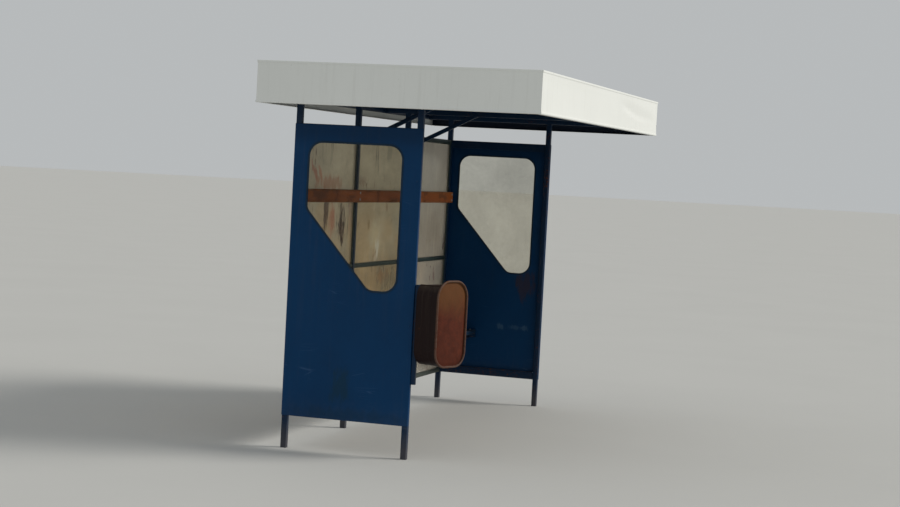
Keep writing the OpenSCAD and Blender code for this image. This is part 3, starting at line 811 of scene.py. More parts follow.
def timber(slot, base, weathered, painted, knots, dust, wear, level, stain=0.0):
    """Outdoor timber along X: grain, cracks, knots, and grey where it is worn, under thin paint
    or stain."""
    c, m = colours(), Finish(slot)
    grain, crack, knot = timber_grain(m, Scale=34.0, Knots=knots)
    tone = paint_tone(m, Color=base, Amount=0.3, Scale=2.6)[0]
    m.shown = m.scaled(tone, grain * (0.9 * (1 - painted) + 0.25 * painted) + (0.55 + 0.3 * painted))
    halo = paint_chips(m, Edge=0.9, Open=0.35, Scale=45.0)[1]
    worn = (halo * (grain * (0.8 * wear) + 0.4 * wear)).clamped()
    damp = m.noise(5.0, 4.0, 0.6, stretch=(1, 1, 2.5), shift=(4, 0, 1)).ramp(0.48, 0.62)
    top = settled_dust(m, Amount=dust)
    m.lay(worn, m.scaled(weathered, grain + 0.45))
    m.lay(damp * stain, times(base, (0.42, 0.5, 0.7)))
    m.lay(knot, times(base, 0.3))
    m.lay(crack * 0.75, times(base, 0.16))
    m.lay(top, c.dirt)
    m.end(m.mix(worn | top, 0.5 + 0.12 * (1 - painted), 0.86),
          (grain * (1.0 - 0.6 * painted) - crack * 0.7, 0.5, 0.002), Specular_IOR_Level=level)


def pane(slot, film, clear, rough, cloud, streaks, low_film_and_shade=None):
    """Old glazing: a dusty film and rain streaks. With a browner, darker film lower down, partly
    real film and partly painted shade, it also has a darker, greyer far bay that is painted shade,
    generic dark and reddish runs, and the smears of the table, among them a painted highlight."""
    m = Finish(slot)
    m.shown = film
    if low_film_and_shade:
        x, _, z = m.parts(m.point())
        tan = z.ramp(1.85, 1.45) * m.noise(2.6, 3.0, shift=(9, 0, 3)).ramp(0.36, 0.6)
        # painted shade: the panes start from the darker, browner colour low down, and the plain film is laid
        # above it
        m.shown = low_film_and_shade
        m.lay(z.ramp(1.05, 1.5), film)
        m.lay(tan * 0.6, times(film, (1.0, 0.82, 0.62)))
        # painted shade: the far bay's film is darker and greyer, standing in for the dark view seen through
        # it
        m.lay(x.ramp(0.56, 0.59) * 0.75, times(film, (0.68, 0.7, 0.78)))
    m.shown = paint_tone(m, Color=m.shown, Amount=0.28, Scale=2.2)[0]
    streak = rain_streaks(m, Scale=46.0, Amount=streaks)
    low = ground_splash(m, Height=0.75, Amount=0.5)
    scratch = fine_scratches(m, Scale=9.0, Amount=0.35)
    m.lay(streak, times(film, 1.3))
    m.lay(low, (0.44, 0.46, 0.46, 1))
    if low_film_and_shade:
        here = m.noise(1.9, 1.0, shift=(1.7, 0, 0))
        dark = m.noise(7.5, 4.0, 0.6, 0.8, stretch=(1, 1, 0.22), shift=(6.1, 0, 0.4)).ramp(0.60, 0.66)
        red = m.noise(9.0, 4.0, 0.6, 1.2, stretch=(1, 1, 0.3), shift=(0.3, 0, 2.4)).ramp(0.60, 0.67)
        m.lay(red * here.ramp(0.42, 0.56) * 0.6, (0.2, 0.03, 0.018, 1))
        m.lay(dark * here.ramp(0.5, 0.6) * 0.48, (0.022, 0.02, 0.02, 1))
        for x, z, long, wide, turn, strength, tint in SMEARS_AND_HIGHLIGHT:
            m.lay(ragged_patch(m, (x, 0, z), (wide, 1, long), turn) * strength, tint)
    m.lay(scratch, times(film, 1.6))
    m.end(m.mix(streak | low | scratch, rough, rough + cloud),
          (paint_skin(m, Fine=0.04, Broad=0.5), 0.08, 0.001), Transmission_Weight=clear, IOR=1.22)


def rubber():
    """Weathered rubber: greyed by the sun, with fine unevenness and dust in its lips."""
    c, m = colours(), Finish("seal_rubber")
    m.shown, shade = paint_tone(m, Color=c.rubber, Amount=0.45, Scale=6.0)
    m.lay(rain_streaks(m, Scale=60.0, Amount=0.1) | settled_dust(m, Amount=0.25), times(c.dirt, 0.3))
    m.end(shade * 0.1 + 0.72, (paint_skin(m, Fine=0.6, Broad=0.6), 0.3, 0.0008), Specular_IOR_Level=0.15)


def rusty_plate():
    """Bin front: red-brown rusted paint, olive towards the top, lighter on the rolled rim, partly rubbed
    paint and partly a painted highlight.
    """
    c, m = colours(), Finish("bin_rust")
    m.shown, rust_height = rust_skin(m, Color=c.bin_front, Scale=26.0)
    chip, halo = paint_chips(m, Edge=0.0, Open=1.6, Scale=17.0)
    rubbed_and_highlight = m.worn() * m.noise(60.0, 5.0, 0.7).ramp(0.25, 0.6)
    high = (m.noise(5.0, 3.0) * 0.22 + m.parts(m.point())[2]).ramp(1.02, 1.22)
    m.lay(halo * 0.8, paint_tone(m, Color=times(c.bin_front, 0.75), Amount=0.3)[0])
    m.lay(rain_streaks(m, Scale=30.0, Amount=0.6), (0.04, 0.012, 0.008, 1))
    m.lay(high * 0.75, c.bin_top)
    # painted highlight: the rolled rim is laid lighter, partly as rubbed paint
    m.lay(rubbed_and_highlight, c.bin_rim_and_highlight)
    m.end(m.mix(rubbed_and_highlight, rust_height * 0.25 + 0.6, 0.5), (rust_height - chip * 0.5, 0.4, 0.0018),
          Specular_IOR_Level=0.14)


def make_finishes():
    """Every finish under its slot's name."""
    c = colours()
    paint("frame_paint", c.frame, tone=0.2, streaks=0.15, edge=0.3, open_chips=0.06, splash=0.3,
          splash_height=0.35, level=0.16)
    # the side panels get painted shade along their top, under the roof
    paint("panel_paint", c.panel, tone=0.22, streaks=0.1, edge=0.3, open_chips=0.07, splash=0.14,
          gloss=0.46, level=0.14, painted_roof_shade=0.45, marks=PANEL_MARKS)
    paint("fascia_paint", c.fascia, tone=0.03, streaks=0.12, edge=0.12, open_chips=0.02, scratches=0.03,
          dust=0.2, gloss=0.5, level=0.2, grime=(0.30, 0.285, 0.235, 1), inside=c.ceiling)
    paint("ceiling_paint", c.ceiling, tone=0.3, streaks=0.15, edge=0.3, scratches=0.0, gloss=0.6, level=0.2)
    paint("rail_paint", c.rail, tone=0.2, streaks=0.15, edge=0.2, open_chips=0.04, gloss=0.5, level=0.16)
    paint("bin_paint", c.bin_body, tone=0.35, edge=0.5, open_chips=0.25, scratches=0.2, gloss=0.55,
          splash=0.1, splash_height=0.9, level=0.14)
    zinc("galvanised", c.zinc)
    zinc("cover_sheet", c.cover, metal=0.1, rust_share=0.35, rough=0.72, dirt_share=0.7)
    timber("board_wood", c.board, (0.26, 0.14, 0.07, 1), 0.1, 0.7, 0.15, 0.5, 0.12, stain=0.75)
    timber("bench_wood", c.bench, (0.10, 0.085, 0.065, 1), 0.85, 0.25, 0.04, 0.2, 0.15)
    pane("side_glass", (0.64, 0.62, 0.54, 1), 1.0, 0.01, 0.04, 0.2)
    # the rear glass is darker low down and on the far bay: partly film, partly painted shade
    pane("rear_glass", c.pane, 0.58, 0.16, 0.2, 0.35, low_film_and_shade=c.pane_low_and_shade)
    rubber()
    rusty_plate()


# Fasteners and welds


def head(radius, height, sides=10, washer=0.0):
    """Domed head on its own base: rings of a flattened dome, closed by a point on top and a flat
    foot. With a washer, a thin wider ring lies under it."""
    t = np.linspace(0, 1, 4)[:-1] * math.pi / 2
    ring_r, ring_z = radius * np.cos(t), height * np.sin(t)
    if washer:
        ring_r = np.concatenate([[washer, washer, radius], ring_r[1:]])
        ring_z = np.concatenate([[0, 0.25 * height, 0.3 * height], 0.3 * height + ring_z[1:]])
    k, n = np.arange(sides), len(ring_r)
    a = k * TURN / sides
    rings = [ring_r[:, None] * np.cos(a), ring_r[:, None] * np.sin(a), np.repeat(ring_z[:, None], sides, 1)]
    top = [0, 0, ring_z[-1] + height * (1 - math.sin(t[-1]))]
    points = np.vstack([np.stack(rings, -1).reshape(-1, 3), top])
    last = (n - 1) * sides
    cone = np.stack([last + k, last + (k + 1) % sides, np.full(sides, n * sides)], 1)
    return points, [quads(n, sides, False, True)[:, ::-1], cone, k[None, ::-1]]


def hex_head(across, height):
    """Six-sided bolt head with its upper corners turned down, on a round washer."""
    k = np.arange(12)
    a = k * math.pi / 6
    flat = across / 2 / np.cos((a + math.pi / 6) % (math.pi / 3) - math.pi / 6)
    washer, crown = np.full(12, across * 0.82), np.full(12, across * 0.46)
    levels = ((washer, 0), (washer, 0.2), (flat, 0.2), (flat, 0.85), (crown, 1))
    rings = [np.stack([r * np.cos(a), r * np.sin(a), np.full(12, height * z)], -1) for r, z in levels]
    return np.vstack(rings), [quads(5, 12, False, True), k[None], k[None, ::-1] + 48]


def weld(build, a, b, side_a, side_b, leg, seed=0):
    """Fillet weld from a to b in the corner of two faces: a round-backed section between the two
    legs, whose size swells and shrinks in overlapping ripples along the run."""
    a, b = np.asarray(a, float), np.asarray(b, float)
    long = np.linalg.norm(b - a)
    rows = max(int(long / WELD_STEP), 6)
    s = np.linspace(0, 1, rows)
    beads = np.abs(np.sin(s * long / WELD_RIPPLE * math.pi))
    swell = 0.86 + 0.14 * beads + 0.08 * ripple(s * long * 60, seed)
    swell *= np.clip(np.minimum(s, 1 - s) * rows / 1.6, 0.3, 1)
    t = np.linspace(0, math.pi / 2, 5)
    arc = np.vstack([np.stack([np.cos(t) ** 0.8, np.sin(t) ** 0.8], 1), [-0.12, -0.12]]) * leg
    section = arc[:, :1] * np.asarray(side_a, float) + arc[:, 1:] * np.asarray(side_b, float)
    build.rod((a + (b - a) * s[:, None])[:, None] + swell[:, None, None] * section, 0.35)


def weld_round(build, centre, half, u, v, out, leg, seed, sides=(1, 1, 1, 1)):
    """Welds on up to four sides of a tube's end on a flat face: the tube lies along out, its
    section along u and v."""
    runs = ((u, v, *half), (-u, v, *half), (v, u, *half[::-1]), (-v, u, *half[::-1]))
    for (face, along, reach, width), wanted in zip(runs, sides):
        if wanted:
            start, span = centre + face * reach, along * (width - 0.003)
            weld(build, start - span, start + span, face, out, leg, seed + int(face @ (3, 5, 7)))


# Pieces


class Piece(bpy.types.Operator):
    """Shared form of the operators: each one calls the functions of its parts in order"""

    bl_options = {"REGISTER", "UNDO"}

    def execute(self, context):
        for part in self.parts:
            part()
        return {"FINISHED"}


KEPT_NODES = {
    "ceiling": "ceiling_paint", "roof_purlins": "galvanised",
    "rear_lower_panes": "rear_glass", "rear_upper_panes": "rear_glass",
    "near_side_window": "side_glass", "far_side_window": "side_glass",
}


def dress_kept_nodes():
    for node, slot in KEPT_NODES.items():
        materials = frame["nodes"][node].data.materials
        materials.clear()
        materials.append(finish_of(slot))


class SHELTER_OT_finishes(Piece):
    """Make every finish and give it to the nodes that stay as they are"""

    bl_idname = "shelter.finishes"
    bl_label = "Finishes"
    parts = (make_finishes, dress_kept_nodes)


END_TUBES = {
    "{}_front_post": "post_{}_front", "{}_back_post": "post_{}_back", "{}_middle_post": "post_{}_middle",
    "{}_rafter": "roof_{}_rafter", "{}_middle_rafter": "roof_{}_middle_rafter",
    "{}_top_rail": "side_rail_{}_top", "{}_bottom_rail": "side_rail_{}_bottom",
}


def frame_tubes():
    tubes = {node.format(end): name.format(end) for end in ENDS for node, name in END_TUBES.items()}
    tubes |= {f"{side}_edge_beam": f"edge_beam_{side}" for side in ("front", "rear")}
    for node, name in tubes.items():
        Build().fill(*box_of(node)[:2]).finish(name, "frame_paint", node)


def rear_rails():
    """One tube in each bay, from post to post."""
    for level in REAR_LEVELS:
        lo, hi = box_of(f"rear_{level}_rails")[:2]
        build = Build()
        for x0, x1 in bays():
            build.fill(np.array([x0, *lo[1:]]), np.array([x1, *hi[1:]]))
        build.finish(f"rear_rail_{level}", "rail_paint", f"rear_{level}_rails")


class SHELTER_OT_tubes(Piece):
    """Posts, rafters, edge beams, side rails and rear rails as round-cornered tubes"""

    bl_idname = "shelter.tubes"
    bl_label = "Posts, beams and rails"
    parts = (frame_tubes, rear_rails)


def braces():
    """Knee braces to their rafters, and a level tube with a strut under it for each bracket."""
    for end in ENDS:
        lo, hi, mid, size = box_of(f"{end}_knee_brace")
        build = Build()
        sloping_tube(build, mid[0], size[0], lo[1], hi[1], lo[2], hi[2])
        build.finish(f"knee_brace_{end}", "frame_paint", f"{end}_knee_brace")
    lo, hi, _, _ = box_of("bench_brackets")
    width, post_y = BRACKET_TUBE, rear_post_front()
    z = hi[2] - width / 2
    build = Build()
    for x in rear_posts():
        build.tube((x, lo[1], z), (x, post_y, z), X, width, width)
        sloping_tube(build, x, width, lo[1] + 0.04, post_y, lo[2], hi[2] - width)
    build.finish("bench_brackets_tube", "frame_paint", "bench_brackets")


def sloping_tube(build, x, width, y0, y1, z0, z1):
    """Tube from the post's face up to the underside above: its ends lie in the rear and upper
    planes of its box."""
    rise = width / 2 / math.cos(math.atan2(z1 - z0 - width / 2, y1 - y0))
    run = width / 2 / math.sin(math.atan2(z1 - z0 - rise, y1 - y0))
    build.tube((x, y1, z0 + rise), (x, y0 + run, z1), X, width, width, (Y, Z))


class SHELTER_OT_braces(Piece):
    """Knee braces and bench brackets, square tubes cut to the faces that they meet"""

    bl_idname = "shelter.braces"
    bl_label = "Braces and brackets"
    parts = (braces,)


def side_panels():
    """Each end's panel, with waves of its own, and its seal."""
    for end, seed in zip(ENDS, (3, 8)):
        side_panel(end, seed)
        window_seal(end)


def side_panel(end, seed):
    """Every point lies on a ruled line from the window opening to the inset edge rectangle,
    then on the bend about that edge, then on the return fold. The way round the panel is the
    other direction of the grid. Waves lift the open sheet and die out at its borders."""
    lo, hi, _, size = box_of(f"{end}_side_panel")
    (y0, z0), (y1, z1) = lo[1:], hi[1:]
    thick, bend = sizes().sheet, sizes().panel_bend
    face, outward = panel_face(end)
    edge = Outline([(y0, z1), (y1, z1), (y1, z0), (y0, z0)], [bend] * 4, 0.015, 5)
    hole = window_outline(end).at(SHEET_IN_SEAL)
    middle = hole.mean(0)
    away = hole - middle
    want = edge.centre + edge.out * 1e-4 - middle
    angle, wanted = (np.arctan2(v[:, 1], v[:, 0]) for v in (away, want))
    order = np.argsort(angle)
    reach = np.interp(wanted, angle[order], np.linalg.norm(away, axis=1)[order], period=TURN)
    inner = middle + unit(want) * reach[:, None]

    def profile(radius, inset):
        """Share of the way to the edge, reach beyond it and depth, over one face of the sheet."""
        arc = np.arange(1, 5) * math.pi / 8
        bent = [(1, radius * math.sin(v), bend - radius * math.cos(v)) for v in arc]
        return [(a, 0.0, inset) for a in np.linspace(0, 1, 13)] + bent + [(1, radius, size[0])]

    rows = np.array(profile(bend, 0.0) + profile(bend - thick, thick)[::-1])
    a, beyond, depth = rows.T[..., None]
    plane = inner + a[..., None] * (edge.centre - inner) + beyond[..., None] * edge.out
    y, z = plane[..., 0], plane[..., 1]
    lift = panel_waves(y, z, lo, hi, seed) * np.clip(4 * a * (1 - a), 0, 1)
    x = face - outward * (depth - lift * (depth <= thick + 1e-9))
    worn = np.clip((beyond - 0.3 * bend) / (0.7 * bend), 0, 1)
    Build().rod(np.stack([x, y, z], -1), worn, closed=True).finish(
        f"side_panel_{end}", "panel_paint", f"{end}_side_panel")


def panel_waves(y, z, lo, hi, seed):
    """Outward oil-canning: the product of two slow ripples, never inwards, nought at posts
    and rails."""
    open_sheet = within(y, lo[1] + 0.05, hi[1] - 0.05, 0.14) * within(z, lo[2] + 0.07, hi[2] - 0.07, 0.14)
    shape = 0.5 + 0.5 * ripple(y * 3.1 + z * 1.2, seed) * ripple(z * 4.4, seed + 1)
    return sizes().panel_wave * 2 * open_sheet * shape


def window_seal(end):
    """Rubber section with two rounded lips on each side, a locking groove between them, and
    the two slots for pane and sheet, carried round the window outline."""
    seal, outline = box_of(f"{end}_window_seal"), window_outline(end)
    thick = seal.size[0] / 2
    pane_half = (box_of(f"{end}_side_window").size[0] / 2 + 0.0002) / thick
    sheet_half = (sizes().sheet / 2 + 0.0002) / thick
    top = [
        (0.02, pane_half), (0.05, 0.80), (0.22, 0.97), (0.38, 0.99), (0.45, 0.90), (0.50, 0.86),
        (0.55, 0.90), (0.62, 0.99), (0.78, 0.97), (0.95, 0.72), (0.98, sheet_half), (0.56, sheet_half),
    ]
    slot_end = [(0.38, -pane_half), (0.38, pane_half)]
    section = np.array(top + [(n, -x) for n, x in top[::-1]] + slot_end) * [SEAL_WIDTH, thick]
    n, x = section.T
    wobble = 0.0005 * ripple(np.arange(len(outline.out)) * 0.11, 5)[:, None]
    offset = n + wobble * (n > 0.6 * SEAL_WIDTH)
    flat = outline.at()[:, None] + outline.out[:, None] * offset[..., None]
    grid = np.concatenate([np.broadcast_to((seal.mid[0] + x)[:, None], flat.shape[:2] + (1,)), flat], -1)
    Build().rod(grid, 0.3, closed=True).finish(f"window_seal_{end}", "seal_rubber", f"{end}_window_seal")


class SHELTER_OT_side_panels(Piece):
    """Folded side panels with their shaped window openings, and the rubber seals round them"""

    bl_idname = "shelter.side_panels"
    bl_label = "Side panels and seals"
    parts = (side_panels,)


def roof_edges():
    roof_edge("front", X, Y, 11)
    roof_edge("rear", -X, -Y, 12)
    roof_edge("near", -Y, X, 13)
    roof_edge("far", Y, -X, 14)


def roof_edge(side, along, inward, seed):
    """Section of the folded sheet carried along the edge. The place along it is a share of the
    half length less the depth of each point, which gives the mitres. Soft waves and one crease
    move the open face inwards."""
    lo, hi, mid, size = box_of(f"{side}_fascia")
    h, t = size[2], sizes().fascia_sheet
    depth, half = size @ np.abs(inward), size @ np.abs(along) / 2
    rim, proud, m, lip = sizes().rim, sizes().rim_out, t / 2, 0.016
    corners = [
        (depth, m), (m, m), (m, rim - 0.002), (proud + m, rim + 0.003), (proud + m, h - rim - 0.003),
        (m, h - rim + 0.002), (m, h - m), (depth - m, h - m), (depth - m, h - lip),
    ]
    bends = np.array([0, 0.0022, 0.002, 0.002, 0.002, 0.002, 0.0022, 0.0022, 0]) + 1e-6
    into, z = sheet_section(corners, t, bends, 0.022).T
    s = np.linspace(-1, 1, int(2 * half / 0.028))[:, None] * (half - into - GAP)
    face = within(z, rim + 0.01, h - rim - 0.01, 0.05) * (into < 0.012)
    sag = 0.0011 * (1 + ripple(s * 2.2, seed) * ripple(z * 9 + s * 0.6, seed + 1))
    if side == "front":
        sag = sag + crease(s, z, half, h)
    outer = np.where(inward > 0, lo, hi)
    base = np.where(inward != 0, outer, mid) * (1, 1, 0)
    grid = base + s[..., None] * along + (into + sag * face)[..., None] * inward
    grid[..., 2] = lo[2] + z
    worn = (into < 0.004) & ((z < rim) | (z > h - rim))
    Build().rod(grid, worn, ladder=True).finish(f"roof_edge_{side}", "fascia_paint", f"{side}_fascia")


def crease(x, z, half, h):
    """Fold that slants down towards the far corner. The sheet drops in over a short way at the
    fold and comes out again, past its old plane, with the distance above it. It drops in only
    between the beam and the roof cover that stand behind the sheet."""
    start, end = np.array([0.24 * half, 0.66 * h]), np.array([0.81 * half, 0.27 * h])
    run = unit(end - start)
    above = (z - start[1]) * run[0] - (x - start[0]) * run[1]
    drop = np.clip(1 + above / 0.02, 0, 1) * (1 - np.maximum(above, 0) / 0.075)
    here = np.clip((x - start[0]) / 0.3, 0, 1) * np.clip((half - 0.03 - x) / 0.12, 0, 1)
    free = within(z / h, 0.34, 0.8, 0.1)
    return sizes().dent * here * (np.maximum(drop, 0) * free + np.clip(drop, -0.33, 0))


class SHELTER_OT_roof_edge(Piece):
    """Folded roof edge with raised rims, mitred at the corners, creased near its far front end"""

    bl_idname = "shelter.roof_edge"
    bl_label = "Roof edge"
    parts = (roof_edges,)


def roof_cover():
    """Trapezoid ribs across X, carried down the slope from the front edge to the gutter."""
    lo, hi, _, size = box_of("roof_cover")
    t, rib = COVER_SHEET, COVER_RIB
    ribs, first = roof_ribs()
    shape = np.array([-1.6, -0.7, 0.7, 1.6]) * rib
    x = (first + np.arange(ribs)[:, None] * COVER_PITCH + shape).ravel()
    z = np.tile([0.0, rib, rib, 0.0], ribs)
    corners = np.vstack([[0, 0], np.stack([x, z], 1), [size[0], 0]])
    section = sheet_section(corners, t, 0.004, 0.2, 3) + [lo[0], 0]
    fall = size[2] - rib - t
    normal = np.array([0, fall, size[1]]) / math.hypot(size[1], fall)
    s = np.linspace(0, 1, 24)[:, None]
    path = np.array([0, lo[1], hi[2] - rib - t]) + s * np.array([0, size[1] - 0.002, -fall])
    path[:, 2] += t / 2
    grid = path[:, None] + section[:, :1] * X + section[:, 1:] * normal
    grid[..., 2] += 0.0006 * ripple(grid[..., 0] * 3 + grid[..., 1] * 5, 21)
    Build().rod(grid, 0.1, ladder=True).finish("roof_cover_sheet", "cover_sheet", "roof_cover")


def rear_gutter():
    """Channel section with a rolled front lip, carried along the rear edge, and its two end plates."""
    lo, hi, mid, size = box_of("rear_gutter")
    t, m = COVER_SHEET, COVER_SHEET / 2
    w, h = size[1:]
    corners = [(m + 0.012, h - m), (m, h - m), (m, m), (w - m, m), (w - m, h - m)]
    section = sheet_section(corners, t, [1e-6, 0.003, 0.004, 0.004, 1e-6], 0.03) + lo[1:]
    x = np.linspace(lo[0] + t, hi[0] - t, 30)
    build = Build().sweep(section, x[:, None] * X, Y, Z, 0.2, ladder=True)
    plate = box_section(w - 2 * t, h - 2 * t, 0.004) + mid[1:]
    for x0 in (lo[0], hi[0] - t):
        build.sweep(plate, [(x0, 0, 0), (x0 + t, 0, 0)], Y, Z, 0.2)
    build.finish("rear_gutter_channel", "galvanised", "rear_gutter")


class SHELTER_OT_roof_top(Piece):
    """Ribbed roof cover with rounded bends, and the folded gutter behind it"""

    bl_idname = "shelter.roof_top"
    bl_label = "Roof cover and gutter"
    parts = (roof_cover, rear_gutter)


def glazing_strips():
    """Splayed section carried round each pane's rectangle, its corners pushed out along the
    diagonals."""
    _, hi, _, size = box_of("rear_glazing_beads")
    shape = [(0, 0), (0, 1), (0.18, 1.0), (0.62, 0.86), (0.92, 0.46), (1.0, 0.3), (1.0, 0)]
    in_plane, out = (np.array(shape) * [BEAD_WIDTH, size[1]]).T
    build = Build()
    for node in REAR_PANES:
        lo_z, hi_z = (v[2] for v in box_of(node)[:2])
        for x0, x1 in bays():
            x0, x1 = x0 + GAP, x1 - GAP
            ring = [(x0, lo_z, 1, 1), (x1, lo_z, -1, 1), (x1, hi_z, -1, -1), (x0, hi_z, 1, -1)]
            x, z, dx, dz = np.array(ring).T[..., None]
            grid = np.broadcast_arrays(x + dx * in_plane, hi[1] - out, z + dz * in_plane)
            build.rod(np.stack(grid, -1), 0.4, closed=True)
    build.finish("glazing_strips", "rail_paint", "rear_glazing_beads")


class SHELTER_OT_glazing(Piece):
    """Mitred glazing strips round every rear pane"""

    bl_idname = "shelter.glazing"
    bl_label = "Glazing strips"
    parts = (glazing_strips,)


def plank(build, lo, hi, seed):
    """Round-cornered section carried along X. It shrinks over the last few millimetres, and
    slow ripples hollow its broad faces and edges a little, always inwards."""
    size, mid, ease = hi - lo, (lo + hi) / 2, sizes().ease
    section = densify(box_section(size[1], size[2], ease, 5), 0.02, closed=True)
    t = np.linspace(math.pi / 2, 0, 5)
    tip, inset = ease * 0.6 * (1 - np.sin(t)), ease * 0.6 * (1 - np.cos(t))
    plain = np.linspace(tip[-1], size[0] - tip[-1], int(size[0] / 0.05))[1:-1]
    s = np.concatenate([tip, plain, size[0] - tip[::-1]])
    shrink = np.concatenate([inset, 0 * plain, inset[::-1]])[:, None]
    half = size[1:] / 2
    hollow = 0.5 + 0.5 * ripple(s[:, None] * 5 + np.arange(len(section)) * 0.35, seed)
    corner = corner_wear(section, ease)
    pull = sizes().wear * hollow * (0.35 + 0.65 * corner)
    flat = section * (1 - shrink / half)[:, None] * (1 - pull[..., None] / np.maximum(half, 0.01))
    along = np.broadcast_to((lo[0] + s)[:, None, None], flat.shape[:2] + (1,))
    build.rod(np.concatenate([along, flat + mid[1:]], -1), np.maximum(corner, shrink > 0))


def boards():
    """One mesh each for the shoulder board, the backrest and the seat's slats."""
    for name, slot, node, seed, boxes in (
        ("shoulder_board_plank", "board_wood", "shoulder_board", 31, [box_of("shoulder_board")[:2]]),
        ("bench_backrest_slat", "bench_wood", "bench_backrest", 41, [box_of("bench_backrest")[:2]]),
        ("bench_slats", "bench_wood", "bench_seat", 50, slat_boxes()),
    ):
        build = Build()
        for i, (lo, hi) in enumerate(boxes):
            plank(build, lo, hi, seed + i)
        build.finish(name, slot, node)


class SHELTER_OT_boards(Piece):
    """Shoulder board, bench slats and backrest, with eased, worn edges"""

    bl_idname = "shelter.boards"
    bl_label = "Board and bench"
    parts = (boards,)


